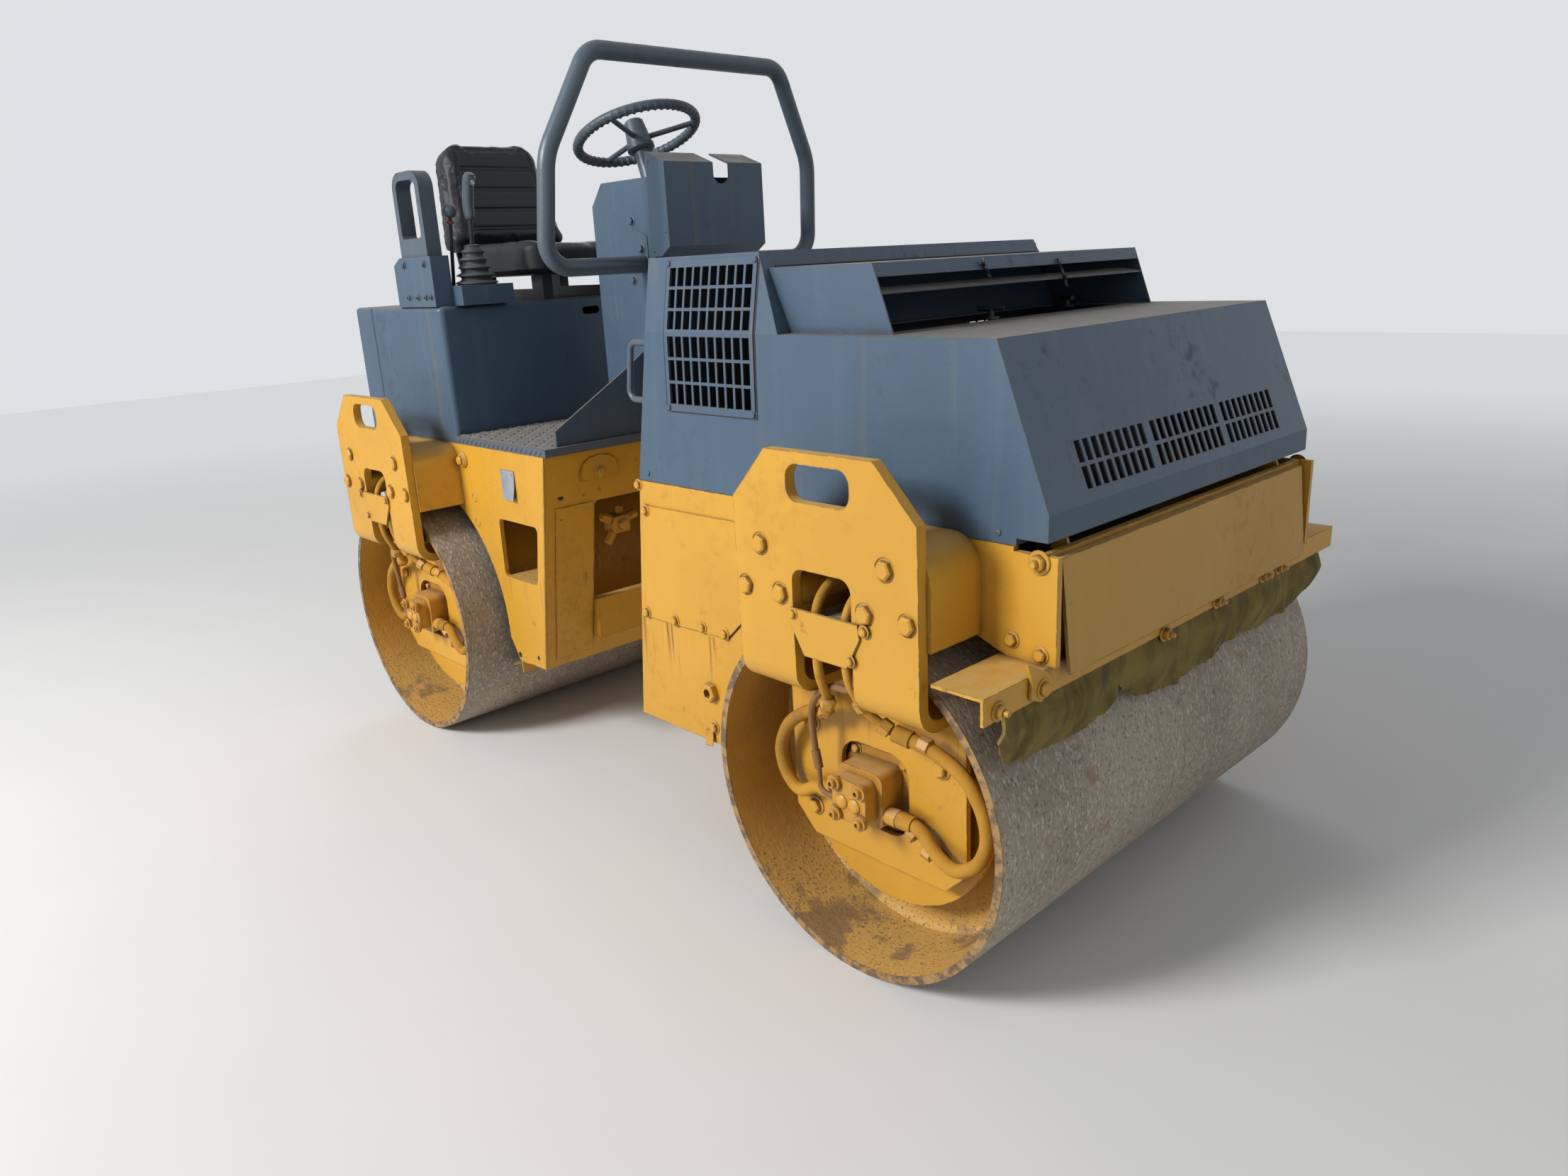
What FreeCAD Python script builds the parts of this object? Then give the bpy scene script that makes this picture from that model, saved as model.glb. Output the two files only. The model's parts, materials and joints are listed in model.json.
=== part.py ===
"""Articulated tandem road roller with two smooth steel drums, a tilting engine hood and an open
driver's place. Millimetres. X points to the engine end, Y to the left, Z up. The origin is on the
ground under the articulation pin, half way between the drums."""
import FreeCAD, Part
import math
import os
import Sketcher

doc = FreeCAD.newDocument("RoadRoller")
sheet = doc.addObject("Spreadsheet::Sheet", "Size")

# Driving dimensions: alias, millimetres (or degrees where the name says angle)
DRUM = [
    ("drum_spacing", 1790), ("drum_radius", 350), ("drum_width", 1200), ("drum_shell", 15),
    ("head_inset", 188), ("head_plate", 12), ("weld_leg", 10), ("exciter_radius", 90),
    ("journal_radius", 60), ("running_gap", 0.3),
]
FORK = [
    ("fork_face", 640), ("fork_plate", 22), ("fork_half", 215), ("fork_top", 1006),
    ("fork_top_half", 125), ("fork_shoulder", 912), ("fork_foot", 555), ("fork_bend", 50),
    ("slot_length", 148), ("slot_height", 66), ("slot_level", 952), ("slot_corner", 26),
    ("window_half", 70), ("window_top", 800), ("window_corner", 25), ("bolt_recess", 21),
    ("recess_depth", 4), ("bolt_lift", 20), ("end_bolt_out", 192), ("end_recess", 20),
]
CARRIER = [
    ("carrier_face", 517), ("carrier_plate", 12), ("carrier_foot", 196), ("carrier_chamfer", 50),
    ("carrier_opening", 84), ("buffer_out", 160), ("buffer_up", 91), ("buffer_radius", 32),
    ("disc_radius", 250), ("disc_plate", 12), ("disc_face", 482),
    ("flange_radius", 92), ("flange_plate", 18), ("motor_half", 55), ("motor_depth", 58),
    ("cover_half", 42), ("cover_depth", 32), ("port_radius", 17), ("port_reach", 26), ("port_place", 541),
]
BAND = [
    ("band_half", 222), ("band_top", 870), ("band_foot", 700), ("band_wall", 12),
    ("band_corner", 60), ("band_lip", 37), ("mount_out", 147), ("mount_level", 812),
    ("mount_inner_out", 101), ("mount_inner_level", 748), ("mount_radius", 34),
]
FRAME = [
    ("frame_half", 485), ("frame_wall", 12), ("arch_gap", 40), ("floor_level", 278),
    ("floor_end", 468), ("arch_drop", 62), ("front_top", 860), ("rear_top", 872),
    ("tail_top", 180), ("tail_foot", 110), ("notch_length", 82), ("notch_level", 852),
    ("nose_end", 1262), ("cheek_reach", 27), ("window_round", 14),
    ("rear_end", 1270), ("crown_end", 1040), ("beam_level", 671), ("beam_start", 1168),
    ("beam_knee", 1106), ("beam_knee_level", 695),
    ("rear_face_top", 223), ("rear_face_foot", 334), ("gap_half", 330), ("gap_sill", 451),
    ("gap_head", 731),
    ("step_front", 291), ("step_back", 487), ("step_front_foot", 324), ("step_back_foot", 490),
    ("step_head", 682), ("step_sill", 520),
]
PIVOT = [
    ("pivot_level", 400), ("pivot_pin", 25), ("pin_fit", 0.05), ("pivot_barrel", 58),
    ("pivot_height", 60), ("lug_plate", 25), ("lug_half", 55), ("neck_radius", 46),
    ("neck_start", 75),
    ("neck_key_half", 40), ("neck_flange_half", 100), ("neck_flange_plate", 20),
    ("beam_face", 285), ("beam_sill", 340),
]
STEERING = [
    ("ram_level", 520), ("ram_side", 120), ("ram_back", 480), ("ram_front", 40),
    ("ram_barrel", 30), ("ram_barrel_length", 330), ("ram_rod", 14), ("ram_eye", 26),
    ("ram_eye_half", 16), ("ram_pin", 12), ("ram_cheek", 10), ("ram_cheek_gap", 22),
    ("ram_cheek_half", 30), ("ram_gland", 36), ("ram_gland_length", 30),
    ("ram_neck", 6),
]
HOOD = [
    ("sheet_wall", 3), ("hood_seat", 861), ("hood_lip", 873), ("hood_shoulder", 1182),
    ("hood_top", 1332), ("hood_shoulder_half", 476), ("hood_top_half", 450),
    ("hood_rear_shoulder", 234), ("cowl_front", 577), ("cowl_foot", 645), ("nose_run", 105),
    ("nose_low", 917), ("nose_set_back", 19), ("lip_length", 59),
    ("grille_rear", 302), ("grille_front", 578), ("grille_top", 1325), ("grille_foot", 1022),
    ("grille_side", 11), ("grille_margin", 15), ("grille_bar", 6), ("grille_middle_bar", 14),
    ("grille_sheet", 2.5), ("grille_columns", 10), ("grille_rows", 3),
    ("vent_slit", 16), ("vent_pitch", 25), ("vent_height", 35), ("vent_row_gap", 6),
    ("vent_top", 1012), ("vent_group_pitch", 253),
    ("louvre_half", 440), ("louvre_top", 1302), ("louvre_front_top", 852),
    ("louvre_front_foot", 897), ("louvre_lip", 24), ("louvre_slat", 40), ("louvre_slat_level", 1252),
    ("deck_hole_half", 400),
    ("handle_rod", 7), ("handle_side", 467), ("handle_top", 1160), ("handle_foot", 1036),
    ("handle_reach", 62), ("hinge_side", 396), ("hinge_plate", 8), ("hinge_pin", 6),
    ("hinge_level", 884), ("hinge_set_back", 18), ("hinge_ear", 10), ("hinge_root", 34),
    ("hinge_throat", 15),
]
ENGINE = [
    ("engine_rear", 560), ("engine_front", 1040), ("engine_half", 215), ("engine_height", 400),
]
FASCIA = [
    ("fascia_half", 455), ("fascia_sheet", 6), ("fascia_top", 844), ("fascia_height", 191),
    ("fascia_set_back", 12), ("fascia_lean", 20),
]
SCRAPER = [
    ("angle_half", 660), ("angle_flange", 100), ("angle_drop", 46), ("angle_sheet", 6),
    ("belt_sheet", 8), ("belt_half", 600), ("belt_fold", 40), ("belt_drop", 146),
    ("belt_reach", 24), ("angle_set_back", 12),
    ("inner_angle", 40), ("inner_half", 482), ("rear_scraper_half", 470), ("inner_belt_grip", 268),
    ("inner_belt_reach", 78), ("inner_belt_foot", 230),
]
DECK = [
    ("deck_rear", 671), ("deck_front", 211), ("deck_sheet", 5), ("deck_skirt", 20),
    ("kick_sheet", 6), ("kick_outer", 441), ("kick_heel", 40), ("kick_knee", 211),
    ("kick_knee_rise", 170), ("kick_peak_rise", 210),
    ("console_half", 150), ("console_rear", 394), ("console_top", 1528),
    ("console_rear_top", 1473), ("console_slope", 345),
    ("cover_box_half", 160), ("cover_box_rear", 135), ("cover_box_front", 62),
    ("cover_lift", 6), ("cover_rise", 57), ("cover_fold_rise", 28), ("cover_fold_foot", 22),
    ("cover_fold_back", 34), ("cover_sill", 20), ("notch_width", 50), ("notch_depth", 78), ("notch_side", 20),
]
RAIL = [
    ("rail_radius", 21), ("rail_foot_level", 1322), ("rail_low_out", 440),
    ("rail_knee_out", 424), ("rail_knee_level", 1575),
    ("rail_top_out", 300), ("rail_top_level", 1803), ("rail_foot_back", 185),
    ("rail_top_back", 135), ("rail_bend", 62),
]
WHEEL = [
    ("wheel_radius", 175), ("wheel_grip", 12), ("wheel_hub", 30), ("wheel_hub_height", 34),
    ("wheel_dish", 28), ("wheel_spoke", 7), ("wheel_back", 372), ("wheel_level", 1655),
    ("column_angle", 20), ("column_radius", 22), ("column_foot_level", 1505),
]
SEAT = [
    ("tank_front", 671), ("tank_rear", 1221), ("tank_top", 1240), ("tank_sheet", 5),
    ("tank_corner", 18), ("tank_edge", 12),
    ("tank_slot_length", 60), ("tank_slot_height", 22), ("tank_slot_level", 1201),
    ("lever_plate_rear", 904), ("lever_plate_front", 682), ("lever_plate_top", 1372),
    ("lever_plate_inner", 431), ("lever_plate_slope", 40),
    ("lever_box_inner", 275), ("lever_box_front", 630), ("lever_box_rear", 760),
    ("lever_box_top", 1292),
    ("loop_rear", 900), ("loop_front", 704), ("loop_foot", 1372), ("loop_top", 1591),
    ("loop_bar", 22), ("loop_corner", 45), ("loop_band", 42), ("loop_base", 48),
    ("boot_place", 690), ("boot_side", 352), ("boot_radius", 44), ("boot_neck", 20),
    ("boot_height", 98), ("boot_ribs", 5), ("lever_rod", 8), ("lever_top", 1480),
    ("grip_radius", 19), ("grip_length", 96), ("lever_lean_angle", 8),
    ("ball_place", 668), ("ball_side", 402), ("ball_level", 1486), ("ball_radius", 18),
    ("seat_rear", 1072), ("seat_length", 462), ("seat_half", 225), ("seat_lift", 76),
    ("seat_thick", 76), ("seat_corner", 60), ("seat_edge", 22),
    ("back_lift", 4), ("back_height", 343), ("back_half_foot", 214), ("back_half_top", 165),
    ("back_thick", 92), ("back_set_in", 6), ("back_angle", 15), ("back_corner", 70),
    ("slide_side", 130), ("slide_half", 16), ("seat_pan", 8), ("slide_height", 30),
    ("strut_half", 24), ("strut_thick", 8),
]
HOSE = [
    ("pipe_radius", 9), ("hose_radius", 13), ("collar_wall", 3), ("collar_length", 34),
    ("clamp_sheet", 5), ("clamp_level", 686), ("clamp_half_height", 42),
]
SIZES = DRUM + FORK + CARRIER + BAND + FRAME + PIVOT + STEERING + HOOD + ENGINE + FASCIA
SIZES = SIZES + SCRAPER + DECK + RAIL + WHEEL + SEAT + HOSE

for row, (alias, amount) in enumerate(SIZES, start=1):
    sheet.set("A%d" % row, str(amount))
    sheet.setAlias("A%d" % row, alias)
doc.recompute()


class Dim:
    """A length with the sheet expression that gives it, so that worked-out sizes stay bound."""

    def __init__(self, value, text):
        self.value = value
        self.text = text

    def __add__(self, other):
        other = dim(other)
        return Dim(self.value + other.value, "(%s + %s)" % (self.text, other.text))

    def __sub__(self, other):
        other = dim(other)
        return Dim(self.value - other.value, "(%s - %s)" % (self.text, other.text))

    def __mul__(self, other):
        other = dim(other)
        return Dim(self.value * other.value, "(%s * %s)" % (self.text, other.text))

    def __truediv__(self, other):
        other = dim(other)
        return Dim(self.value / other.value, "(%s / %s)" % (self.text, other.text))

    def __radd__(self, other):
        return dim(other) + self

    def __rsub__(self, other):
        return dim(other) - self

    def __rmul__(self, other):
        return dim(other) * self

    def __neg__(self):
        return Dim(-self.value, "(0 - %s)" % self.text)


def dim(size):
    """A plain number as a Dim, and a Dim as it is."""
    if isinstance(size, Dim):
        return size
    return Dim(float(size), "(%r)" % float(size))


class Sizes:
    """Reads a driving dimension by its alias."""

    def __getattr__(self, alias):
        return Dim(float(sheet.get(alias)), "Size." + alias)


s = Sizes()
ZERO = dim(0)

# Places that several pieces share
nose_wall = s.nose_end - s.cheek_reach
nose_front = s.nose_end - s.nose_set_back
deck_end = nose_front - s.nose_run
lip_start = nose_front - s.lip_length
hinge_place = nose_front - s.hinge_set_back
cover_foot = s.hood_top + s.cover_lift
seat_foot = s.tank_top + s.seat_lift
seat_top = seat_foot + s.seat_thick
seat_front = s.seat_rear - s.seat_length


def sine(angle):
    """The sine of an angle in degrees, bound to the angle's own cell."""
    return Dim(math.sin(math.radians(angle.value)), "sin(%s * 1 deg)" % angle.text)


def cosine(angle):
    """The cosine of an angle in degrees, bound to the angle's own cell."""
    return Dim(math.cos(math.radians(angle.value)), "cos(%s * 1 deg)" % angle.text)


def slant(level, first, last):
    """Where a slanted edge between two (place, level) corners stands at a level."""
    run = (level - first[1]) / (last[1] - first[1])
    return first[0] + (last[0] - first[0]) * run


# Sketches, pads and pockets
PLANES = {"XZ": ("XZ_Plane", -1), "YZ": ("YZ_Plane", 1), "XY": ("XY_Plane", 1)}


def new_sketch(body, plane, at, outlines=(), circles=()):
    """A sketch on one of the body's own planes, moved to a place along that plane's axis."""
    role, facing = PLANES[plane]
    support = next(f for f in body.Origin.OriginFeatures if f.Role == role)
    made = body.newObject("Sketcher::SketchObject", body.Label + "_sketch")
    made.AttachmentSupport = [(support, "")]
    made.MapMode = "FlatFace"
    made.setExpression("AttachmentOffset.Base.z", (dim(at) * facing).text)
    for outline in outlines:
        draw_outline(made, outline)
    for across, up, radius in circles:
        draw_circle(made, across, up, radius)
    return made


def corner_arc(before, corner, after, radius):
    """The two tangent points, the middle and the centre of an arc that rounds a corner."""
    back = (before - corner).normalize()
    ahead = (after - corner).normalize()
    half = back.getAngle(ahead) / 2
    run = radius / math.tan(half)
    inward = (back + ahead).normalize()
    centre = corner + inward * (radius / math.sin(half))
    return corner + back * run, centre - inward * radius, corner + ahead * run, centre


def flat_arc(start, end, centre, left_turn):
    """The short arc between two points of a sketch, always stored anticlockwise."""
    first, last = (start, end) if left_turn else (end, start)
    begin = math.atan2(first.y - centre.y, first.x - centre.x)
    finish = math.atan2(last.y - centre.y, last.x - centre.x)
    if finish < begin:
        finish += 2 * math.pi
    circle = Part.Circle(centre, FreeCAD.Vector(0, 0, 1), (start - centre).Length)
    return Part.ArcOfCircle(circle, begin, finish)


def draw_outline(made, corners):
    """A closed outline of straight lines; a third value at a corner rounds it with that radius."""
    count = len(corners)
    sizes = [(dim(c[0]), dim(c[1]), dim(c[2]) if len(c) > 2 else None) for c in corners]
    spots = [FreeCAD.Vector(across.value, up.value, 0) for across, up, _ in sizes]
    leave, arrive, arcs = list(spots), list(spots), {}
    for i, (_, _, radius) in enumerate(sizes):
        if radius is not None:
            before, after = spots[i - 1], spots[(i + 1) % count]
            arrive[i], _, leave[i], centre = corner_arc(before, spots[i], after, radius.value)
            left_turn = (spots[i] - before).cross(after - spots[i]).z > 0
            arcs[i] = flat_arc(arrive[i], leave[i], centre, left_turn), 1 if left_turn else 2
    lines = [made.addGeometry(Part.LineSegment(leave[i], arrive[(i + 1) % count]), False)
             for i in range(count)]
    rules, bound = [], []
    for i, (across, up, radius) in enumerate(sizes):
        into, out = lines[i - 1], lines[i]
        if radius is None:
            rules.append(Sketcher.Constraint("Coincident", into, 2, out, 1))
            holder, end = out, 1
        else:
            curve, first = arcs[i]
            arc = made.addGeometry(curve, False)
            holder, end = made.addGeometry(Part.Point(spots[i]), True), 1
            rules.append(Sketcher.Constraint("Tangent", into, 2, arc, first))
            rules.append(Sketcher.Constraint("Tangent", out, 1, arc, 3 - first))
            rules.append(Sketcher.Constraint("PointOnObject", holder, 1, into))
            rules.append(Sketcher.Constraint("PointOnObject", holder, 1, out))
            bound.append((len(rules), radius))
            rules.append(Sketcher.Constraint("Radius", arc, radius.value))
        bound.append((len(rules), across))
        rules.append(Sketcher.Constraint("DistanceX", holder, end, across.value))
        bound.append((len(rules), up))
        rules.append(Sketcher.Constraint("DistanceY", holder, end, up.value))
    numbers = made.addConstraint(rules)
    for place, size in bound:
        made.setExpression("Constraints[%d]" % numbers[place], size.text)


def draw_circle(made, across, up, radius):
    """A circle by its centre and radius."""
    across, up, radius = dim(across), dim(up), dim(radius)
    centre = FreeCAD.Vector(across.value, up.value, 0)
    ring = made.addGeometry(Part.Circle(centre, FreeCAD.Vector(0, 0, 1), radius.value), False)
    for kind, size in (("DistanceX", across), ("DistanceY", up)):
        number = made.addConstraint(Sketcher.Constraint(kind, ring, 3, size.value))
        made.setExpression("Constraints[%d]" % number, size.text)
    number = made.addConstraint(Sketcher.Constraint("Radius", ring, radius.value))
    made.setExpression("Constraints[%d]" % number, radius.text)


def new_body(label):
    """An empty body that may hold solids which don't touch."""
    body = doc.addObject("PartDesign::Body", label)
    body.Label = label
    body.AllowCompound = True
    return body


def pad(body, plane, low, high, outlines=(), circles=()):
    """Material from low to high along the plane's axis."""
    made = body.newObject("PartDesign::Pad", body.Label + "_pad")
    made.Profile = new_sketch(body, plane, low, outlines, circles)
    made.Reversed = plane == "XZ"
    made.setExpression("Length", (dim(high) - dim(low)).text)
    return made


def pocket(body, plane, low, high, outlines=(), circles=()):
    """A cut from low to high along the plane's axis."""
    made = body.newObject("PartDesign::Pocket", body.Label + "_pocket")
    made.Profile = new_sketch(body, plane, low, outlines, circles)
    made.Reversed = plane != "XZ"
    made.setExpression("Length", (dim(high) - dim(low)).text)
    return made


def repeat(body, feature, direction, gap, count):
    """The feature again along its sketch's own direction, count times in all."""
    made = body.newObject("PartDesign::LinearPattern", body.Label + "_pattern")
    made.Originals = [feature]
    made.Direction = (feature.Profile[0], [direction])
    made.setExpression("Length", (dim(gap) * (dim(count) - 1)).text)
    made.setExpression("Occurrences", dim(count).text)
    body.Tip = made
    return made


def rectangle(left, right, foot, top, corner=None):
    """The four corners of an upright rectangle, with an optional corner radius."""
    spots = [(left, foot), (right, foot), (right, top), (left, top)]
    if corner is None:
        return spots
    return [(across, up, corner) for across, up in spots]


# Primitives and booleans
def place(made, x, y, z):
    """Binds the position of a primitive."""
    for axis, size in (("x", x), ("y", y), ("z", z)):
        made.setExpression("Placement.Base." + axis, dim(size).text)


def box(label, x, y, z):
    """A block between the low and high places along each axis."""
    made = doc.addObject("Part::Box", label)
    for prop, (low, high) in (("Length", x), ("Width", y), ("Height", z)):
        made.setExpression(prop, (dim(high) - dim(low)).text)
    place(made, x[0], y[0], z[0])
    return made


def group(label, pieces):
    """Solids that share a node without touching."""
    made = doc.addObject("Part::Compound", label)
    made.Links = pieces
    return made


def mirror(label, source, normal):
    """The source seen in a plane through the origin."""
    made = doc.addObject("Part::Mirroring", label)
    made.Source = source
    made.Normal = normal
    return made


LEFT_RIGHT = FreeCAD.Vector(0, 1, 0)
FRONT_REAR = FreeCAD.Vector(1, 0, 0)


def bend_path(points, radii):
    """A wire of straight runs joined by tangent arcs, one radius for each inner point."""
    edges, here = [], points[0]
    for i, radius in enumerate(radii, start=1):
        start, middle, end, _ = corner_arc(points[i - 1], points[i], points[i + 1], radius)
        edges.append(Part.LineSegment(here, start).toShape())
        edges.append(Part.Arc(start, middle, end).toShape())
        here = end
    edges.append(Part.LineSegment(here, points[-1]).toShape())
    return Part.Wire(edges)


def bar_along(points, radii, radius):
    """A round bar swept along a bent path."""
    path = bend_path(points, radii)
    facing = points[1] - points[0]
    ring = Part.Wire(Part.Circle(points[0], facing, radius).toShape())
    return path.makePipeShell([ring], True, False)


def free_bend(points, share=0.45):
    """Bend radii that use a share of the shorter run beside each inner point."""
    radii = []
    for i in range(1, len(points) - 1):
        back, ahead = points[i - 1] - points[i], points[i + 1] - points[i]
        run = min(back.Length, ahead.Length) * share
        radii.append(run * math.tan(back.getAngle(ahead) / 2))
    return radii


def feature(label, shape):
    """A shape made by Part's own functions, as an object of the document."""
    made = doc.addObject("Part::Feature", label)
    made.Shape = shape
    return made


def vector(x, y, z):
    """A point from three sizes."""
    return FreeCAD.Vector(dim(x).value, dim(y).value, dim(z).value)


nodes = {}


def keep(made, label=None):
    """Lists an object as a node, under its own label."""
    if label:
        made.Label = label
    nodes[made.Label] = made
    return made


axle = s.drum_spacing / 2
MODULES = [("front", axle), ("rear", -axle)]


# Drums: a rolled shell with two recessed heads on a central tube
def make_drum(name, centre):
    body = new_body(name + "_drum")
    head = s.drum_width / 2 - s.head_inset
    inner = s.drum_radius - s.drum_shell
    stub = s.disc_face - s.disc_plate - s.running_gap
    hollow = head - s.head_plate
    rim = s.drum_width / 2
    half = [(rim, s.drum_radius), (rim, inner), (head + s.weld_leg, inner),
            (head, inner - s.weld_leg), (head, s.journal_radius), (stub, s.journal_radius),
            (stub, ZERO)]
    other = [(-across, up) for across, up in reversed(half)]
    ring = [(-hollow, s.exciter_radius), (hollow, s.exciter_radius), (hollow, inner),
            (-hollow, inner)]
    made = body.newObject("PartDesign::Revolution", name + "_drum_turned")
    profile = new_sketch(body, "YZ", centre, [half + other, ring])
    profile.setExpression("AttachmentOffset.Base.y", s.drum_radius.text)
    made.Profile = profile
    made.ReferenceAxis = (profile, ["H_Axis"])
    made.Angle = 360
    keep(body)


for name, centre in MODULES:
    make_drum(name, centre)


# Fork plates: one bent plate each side, with a lifting slot and a window for the pipes
def make_fork(name, centre):
    body = new_body(name + "_right_fork")
    outer, inner = -s.fork_face, s.fork_plate - s.fork_face
    weld = -s.carrier_face
    profile = [(outer, s.fork_top), (outer, s.fork_foot, s.fork_bend), (weld, s.fork_foot),
               (weld, s.fork_foot + s.fork_plate),
               (inner, s.fork_foot + s.fork_plate, s.fork_bend - s.fork_plate),
               (inner, s.fork_top)]
    pad(body, "YZ", centre - s.fork_half, centre + s.fork_half, [profile])
    ears = []
    for side in (-1, 1):
        edge = centre + s.fork_half * side
        ears.append([(edge, s.fork_shoulder), (centre + s.fork_top_half * side, s.fork_top),
                     (edge, s.fork_top)])
    slot = rectangle(centre - s.slot_length / 2, centre + s.slot_length / 2,
                     s.slot_level - s.slot_height / 2, s.slot_level + s.slot_height / 2,
                     s.slot_corner)
    window = [(centre - s.window_half, s.fork_foot - s.fork_bend),
              (centre + s.window_half, s.fork_foot - s.fork_bend),
              (centre + s.window_half, s.window_top, s.window_corner),
              (centre - s.window_half, s.window_top, s.window_corner)]
    pocket(body, "XZ", outer, weld, ears + [slot, window])
    seats = [(centre + s.mount_out * side, s.mount_level + s.bolt_lift, s.bolt_recess)
             for side in (-1, 1)]
    seats += [(centre + s.mount_inner_out * side, s.mount_inner_level, s.bolt_recess)
              for side in (-1, 1)]
    seats += [(centre + s.end_bolt_out * side, s.mount_inner_level, s.end_recess)
              for side in (-1, 1)]
    pocket(body, "XZ", outer, outer + s.recess_depth, circles=seats)
    low, high = s.clamp_level - s.clamp_half_height, s.clamp_level + s.clamp_half_height
    clamp = [(centre - s.window_half * 0.6, low), (centre + s.window_half * 0.85, low),
             (centre + s.window_half * 1.3, high - s.clamp_half_height * 0.6),
             (centre + s.window_half * 1.25, high),
             (centre - s.window_half * 1.05, high),
             (centre - s.window_half * 1.1, high - s.clamp_half_height * 0.6)]
    pad(body, "XZ", outer - s.clamp_sheet, outer, [clamp])
    return keep(body)


right_fork = make_fork("front", axle)
left_fork = keep(mirror("front_left_fork", right_fork, LEFT_RIGHT))
keep(mirror("rear_right_fork", right_fork, FRONT_REAR))
keep(mirror("rear_left_fork", left_fork, FRONT_REAR))


# Mountings: a bent band between fork plate and frame, round its rubber mounts
def make_mounting(centre):
    body = new_body("mounting_band")
    outer, inner = s.fork_plate - s.fork_face, -s.frame_half
    ends = []
    for side in (1, -1):
        edge = centre + s.band_half * side
        wall = edge - s.band_wall * side
        tip = edge - s.band_lip * side
        half = [(tip, s.band_foot + s.band_wall), (tip, s.band_foot), (edge, s.band_foot),
                (edge, s.band_top, s.band_corner)]
        inside = [(wall, s.band_foot + s.band_wall),
                  (wall, s.band_top - s.band_wall, s.band_corner - s.band_wall)]
        ends.append((half, inside))
    (right, right_in), (left, left_in) = ends
    outline = right + list(reversed(left)) + left_in + list(reversed(right_in))
    pad(body, "XZ", outer, inner, [outline])
    rubbers = [(centre + s.mount_out * side, s.mount_level, s.mount_radius) for side in (-1, 1)]
    rubbers += [(centre + s.mount_inner_out * side, s.mount_inner_level, s.mount_radius)
                for side in (-1, 1)]
    pad(body, "XZ", outer, inner, circles=rubbers)
    return body


front_right_mounting = make_mounting(axle)
front_left_mounting = mirror("front_left_mounting", front_right_mounting, LEFT_RIGHT)
front_mountings = keep(group("front_mountings", [front_right_mounting, front_left_mounting]))
keep(mirror("rear_mountings", front_mountings, FRONT_REAR))


# Carriers: the plate under the fork, its rubber buffers and the round bearing plate
def make_carrier(centre):
    body = new_body("carrier")
    axis = s.drum_radius
    outer, inner = -s.carrier_face, s.carrier_plate - s.carrier_face
    right, left = centre + s.fork_half, centre - s.fork_half
    top, foot, slant = s.fork_foot + s.fork_plate, s.carrier_foot, s.carrier_chamfer
    plate = [(left, top), (left, foot + slant), (left + slant, foot), (right - slant, foot),
             (right, foot + slant), (right, top)]
    opening = rectangle(centre - s.carrier_opening, centre + s.carrier_opening,
                        axis - s.carrier_opening, axis + s.carrier_opening,
                        s.carrier_opening * 0.55)
    gap = [(centre - s.window_half, top + s.carrier_plate), (centre - s.window_half, s.fork_foot),
           (centre + s.window_half, s.fork_foot), (centre + s.window_half, top + s.carrier_plate)]
    pad(body, "XZ", outer, inner, [plate])
    pocket(body, "XZ", outer, inner, [opening, gap])
    spots = [(centre + s.buffer_out * side, axis + s.buffer_up * lift, s.buffer_radius)
             for side in (-1, 1) for lift in (-1, 1)]
    pad(body, "XZ", inner, -s.disc_face, circles=spots)
    pad(body, "XZ", -s.disc_face, s.disc_plate - s.disc_face,
        circles=[(centre, axis, s.disc_radius)])
    return body


front_right_carrier = make_carrier(axle)
front_left_carrier = mirror("front_left_carrier", front_right_carrier, LEFT_RIGHT)
front_carriers = keep(group("front_carriers", [front_right_carrier, front_left_carrier]))
keep(mirror("rear_carriers", front_carriers, FRONT_REAR))


# Drive motors: flange, square housing and end cover with its ports
def make_motor(centre):
    body = new_body("motor")
    axis = s.drum_radius
    flange = -s.disc_face - s.flange_plate
    housing = flange - s.motor_depth
    cover = housing - s.cover_depth
    half = s.motor_half
    pad(body, "XZ", flange, -s.disc_face, circles=[(centre, axis, s.flange_radius)])
    pad(body, "XZ", housing, flange,
        [rectangle(centre - half, centre + half, axis - half, axis + half, half * 0.3)])
    half = s.cover_half
    pad(body, "XZ", cover, housing,
        [rectangle(centre - half, centre + half, axis - half, axis + half, half * 0.45)])
    lobes = [(centre + half * 0.75 * side, axis + half * 0.75 * lift, half * 0.36)
             for side in (-1, 1) for lift in (-1, 1)]
    pad(body, "XZ", cover - s.cover_depth * 0.25, cover, circles=lobes)
    port = [(-s.port_place, axis - s.motor_half / 2, s.port_radius)]
    pad(body, "YZ", centre + s.motor_half, centre + s.motor_half + s.port_reach, circles=port)
    pad(body, "YZ", centre - s.motor_half - s.port_reach, centre - s.motor_half, circles=port)
    return body


front_right_motor = make_motor(axle)
front_left_motor = mirror("front_left_motor", front_right_motor, LEFT_RIGHT)
front_motors = keep(group("front_motors", [front_right_motor, front_left_motor]))
keep(mirror("rear_motors", front_motors, FRONT_REAR))


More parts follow.
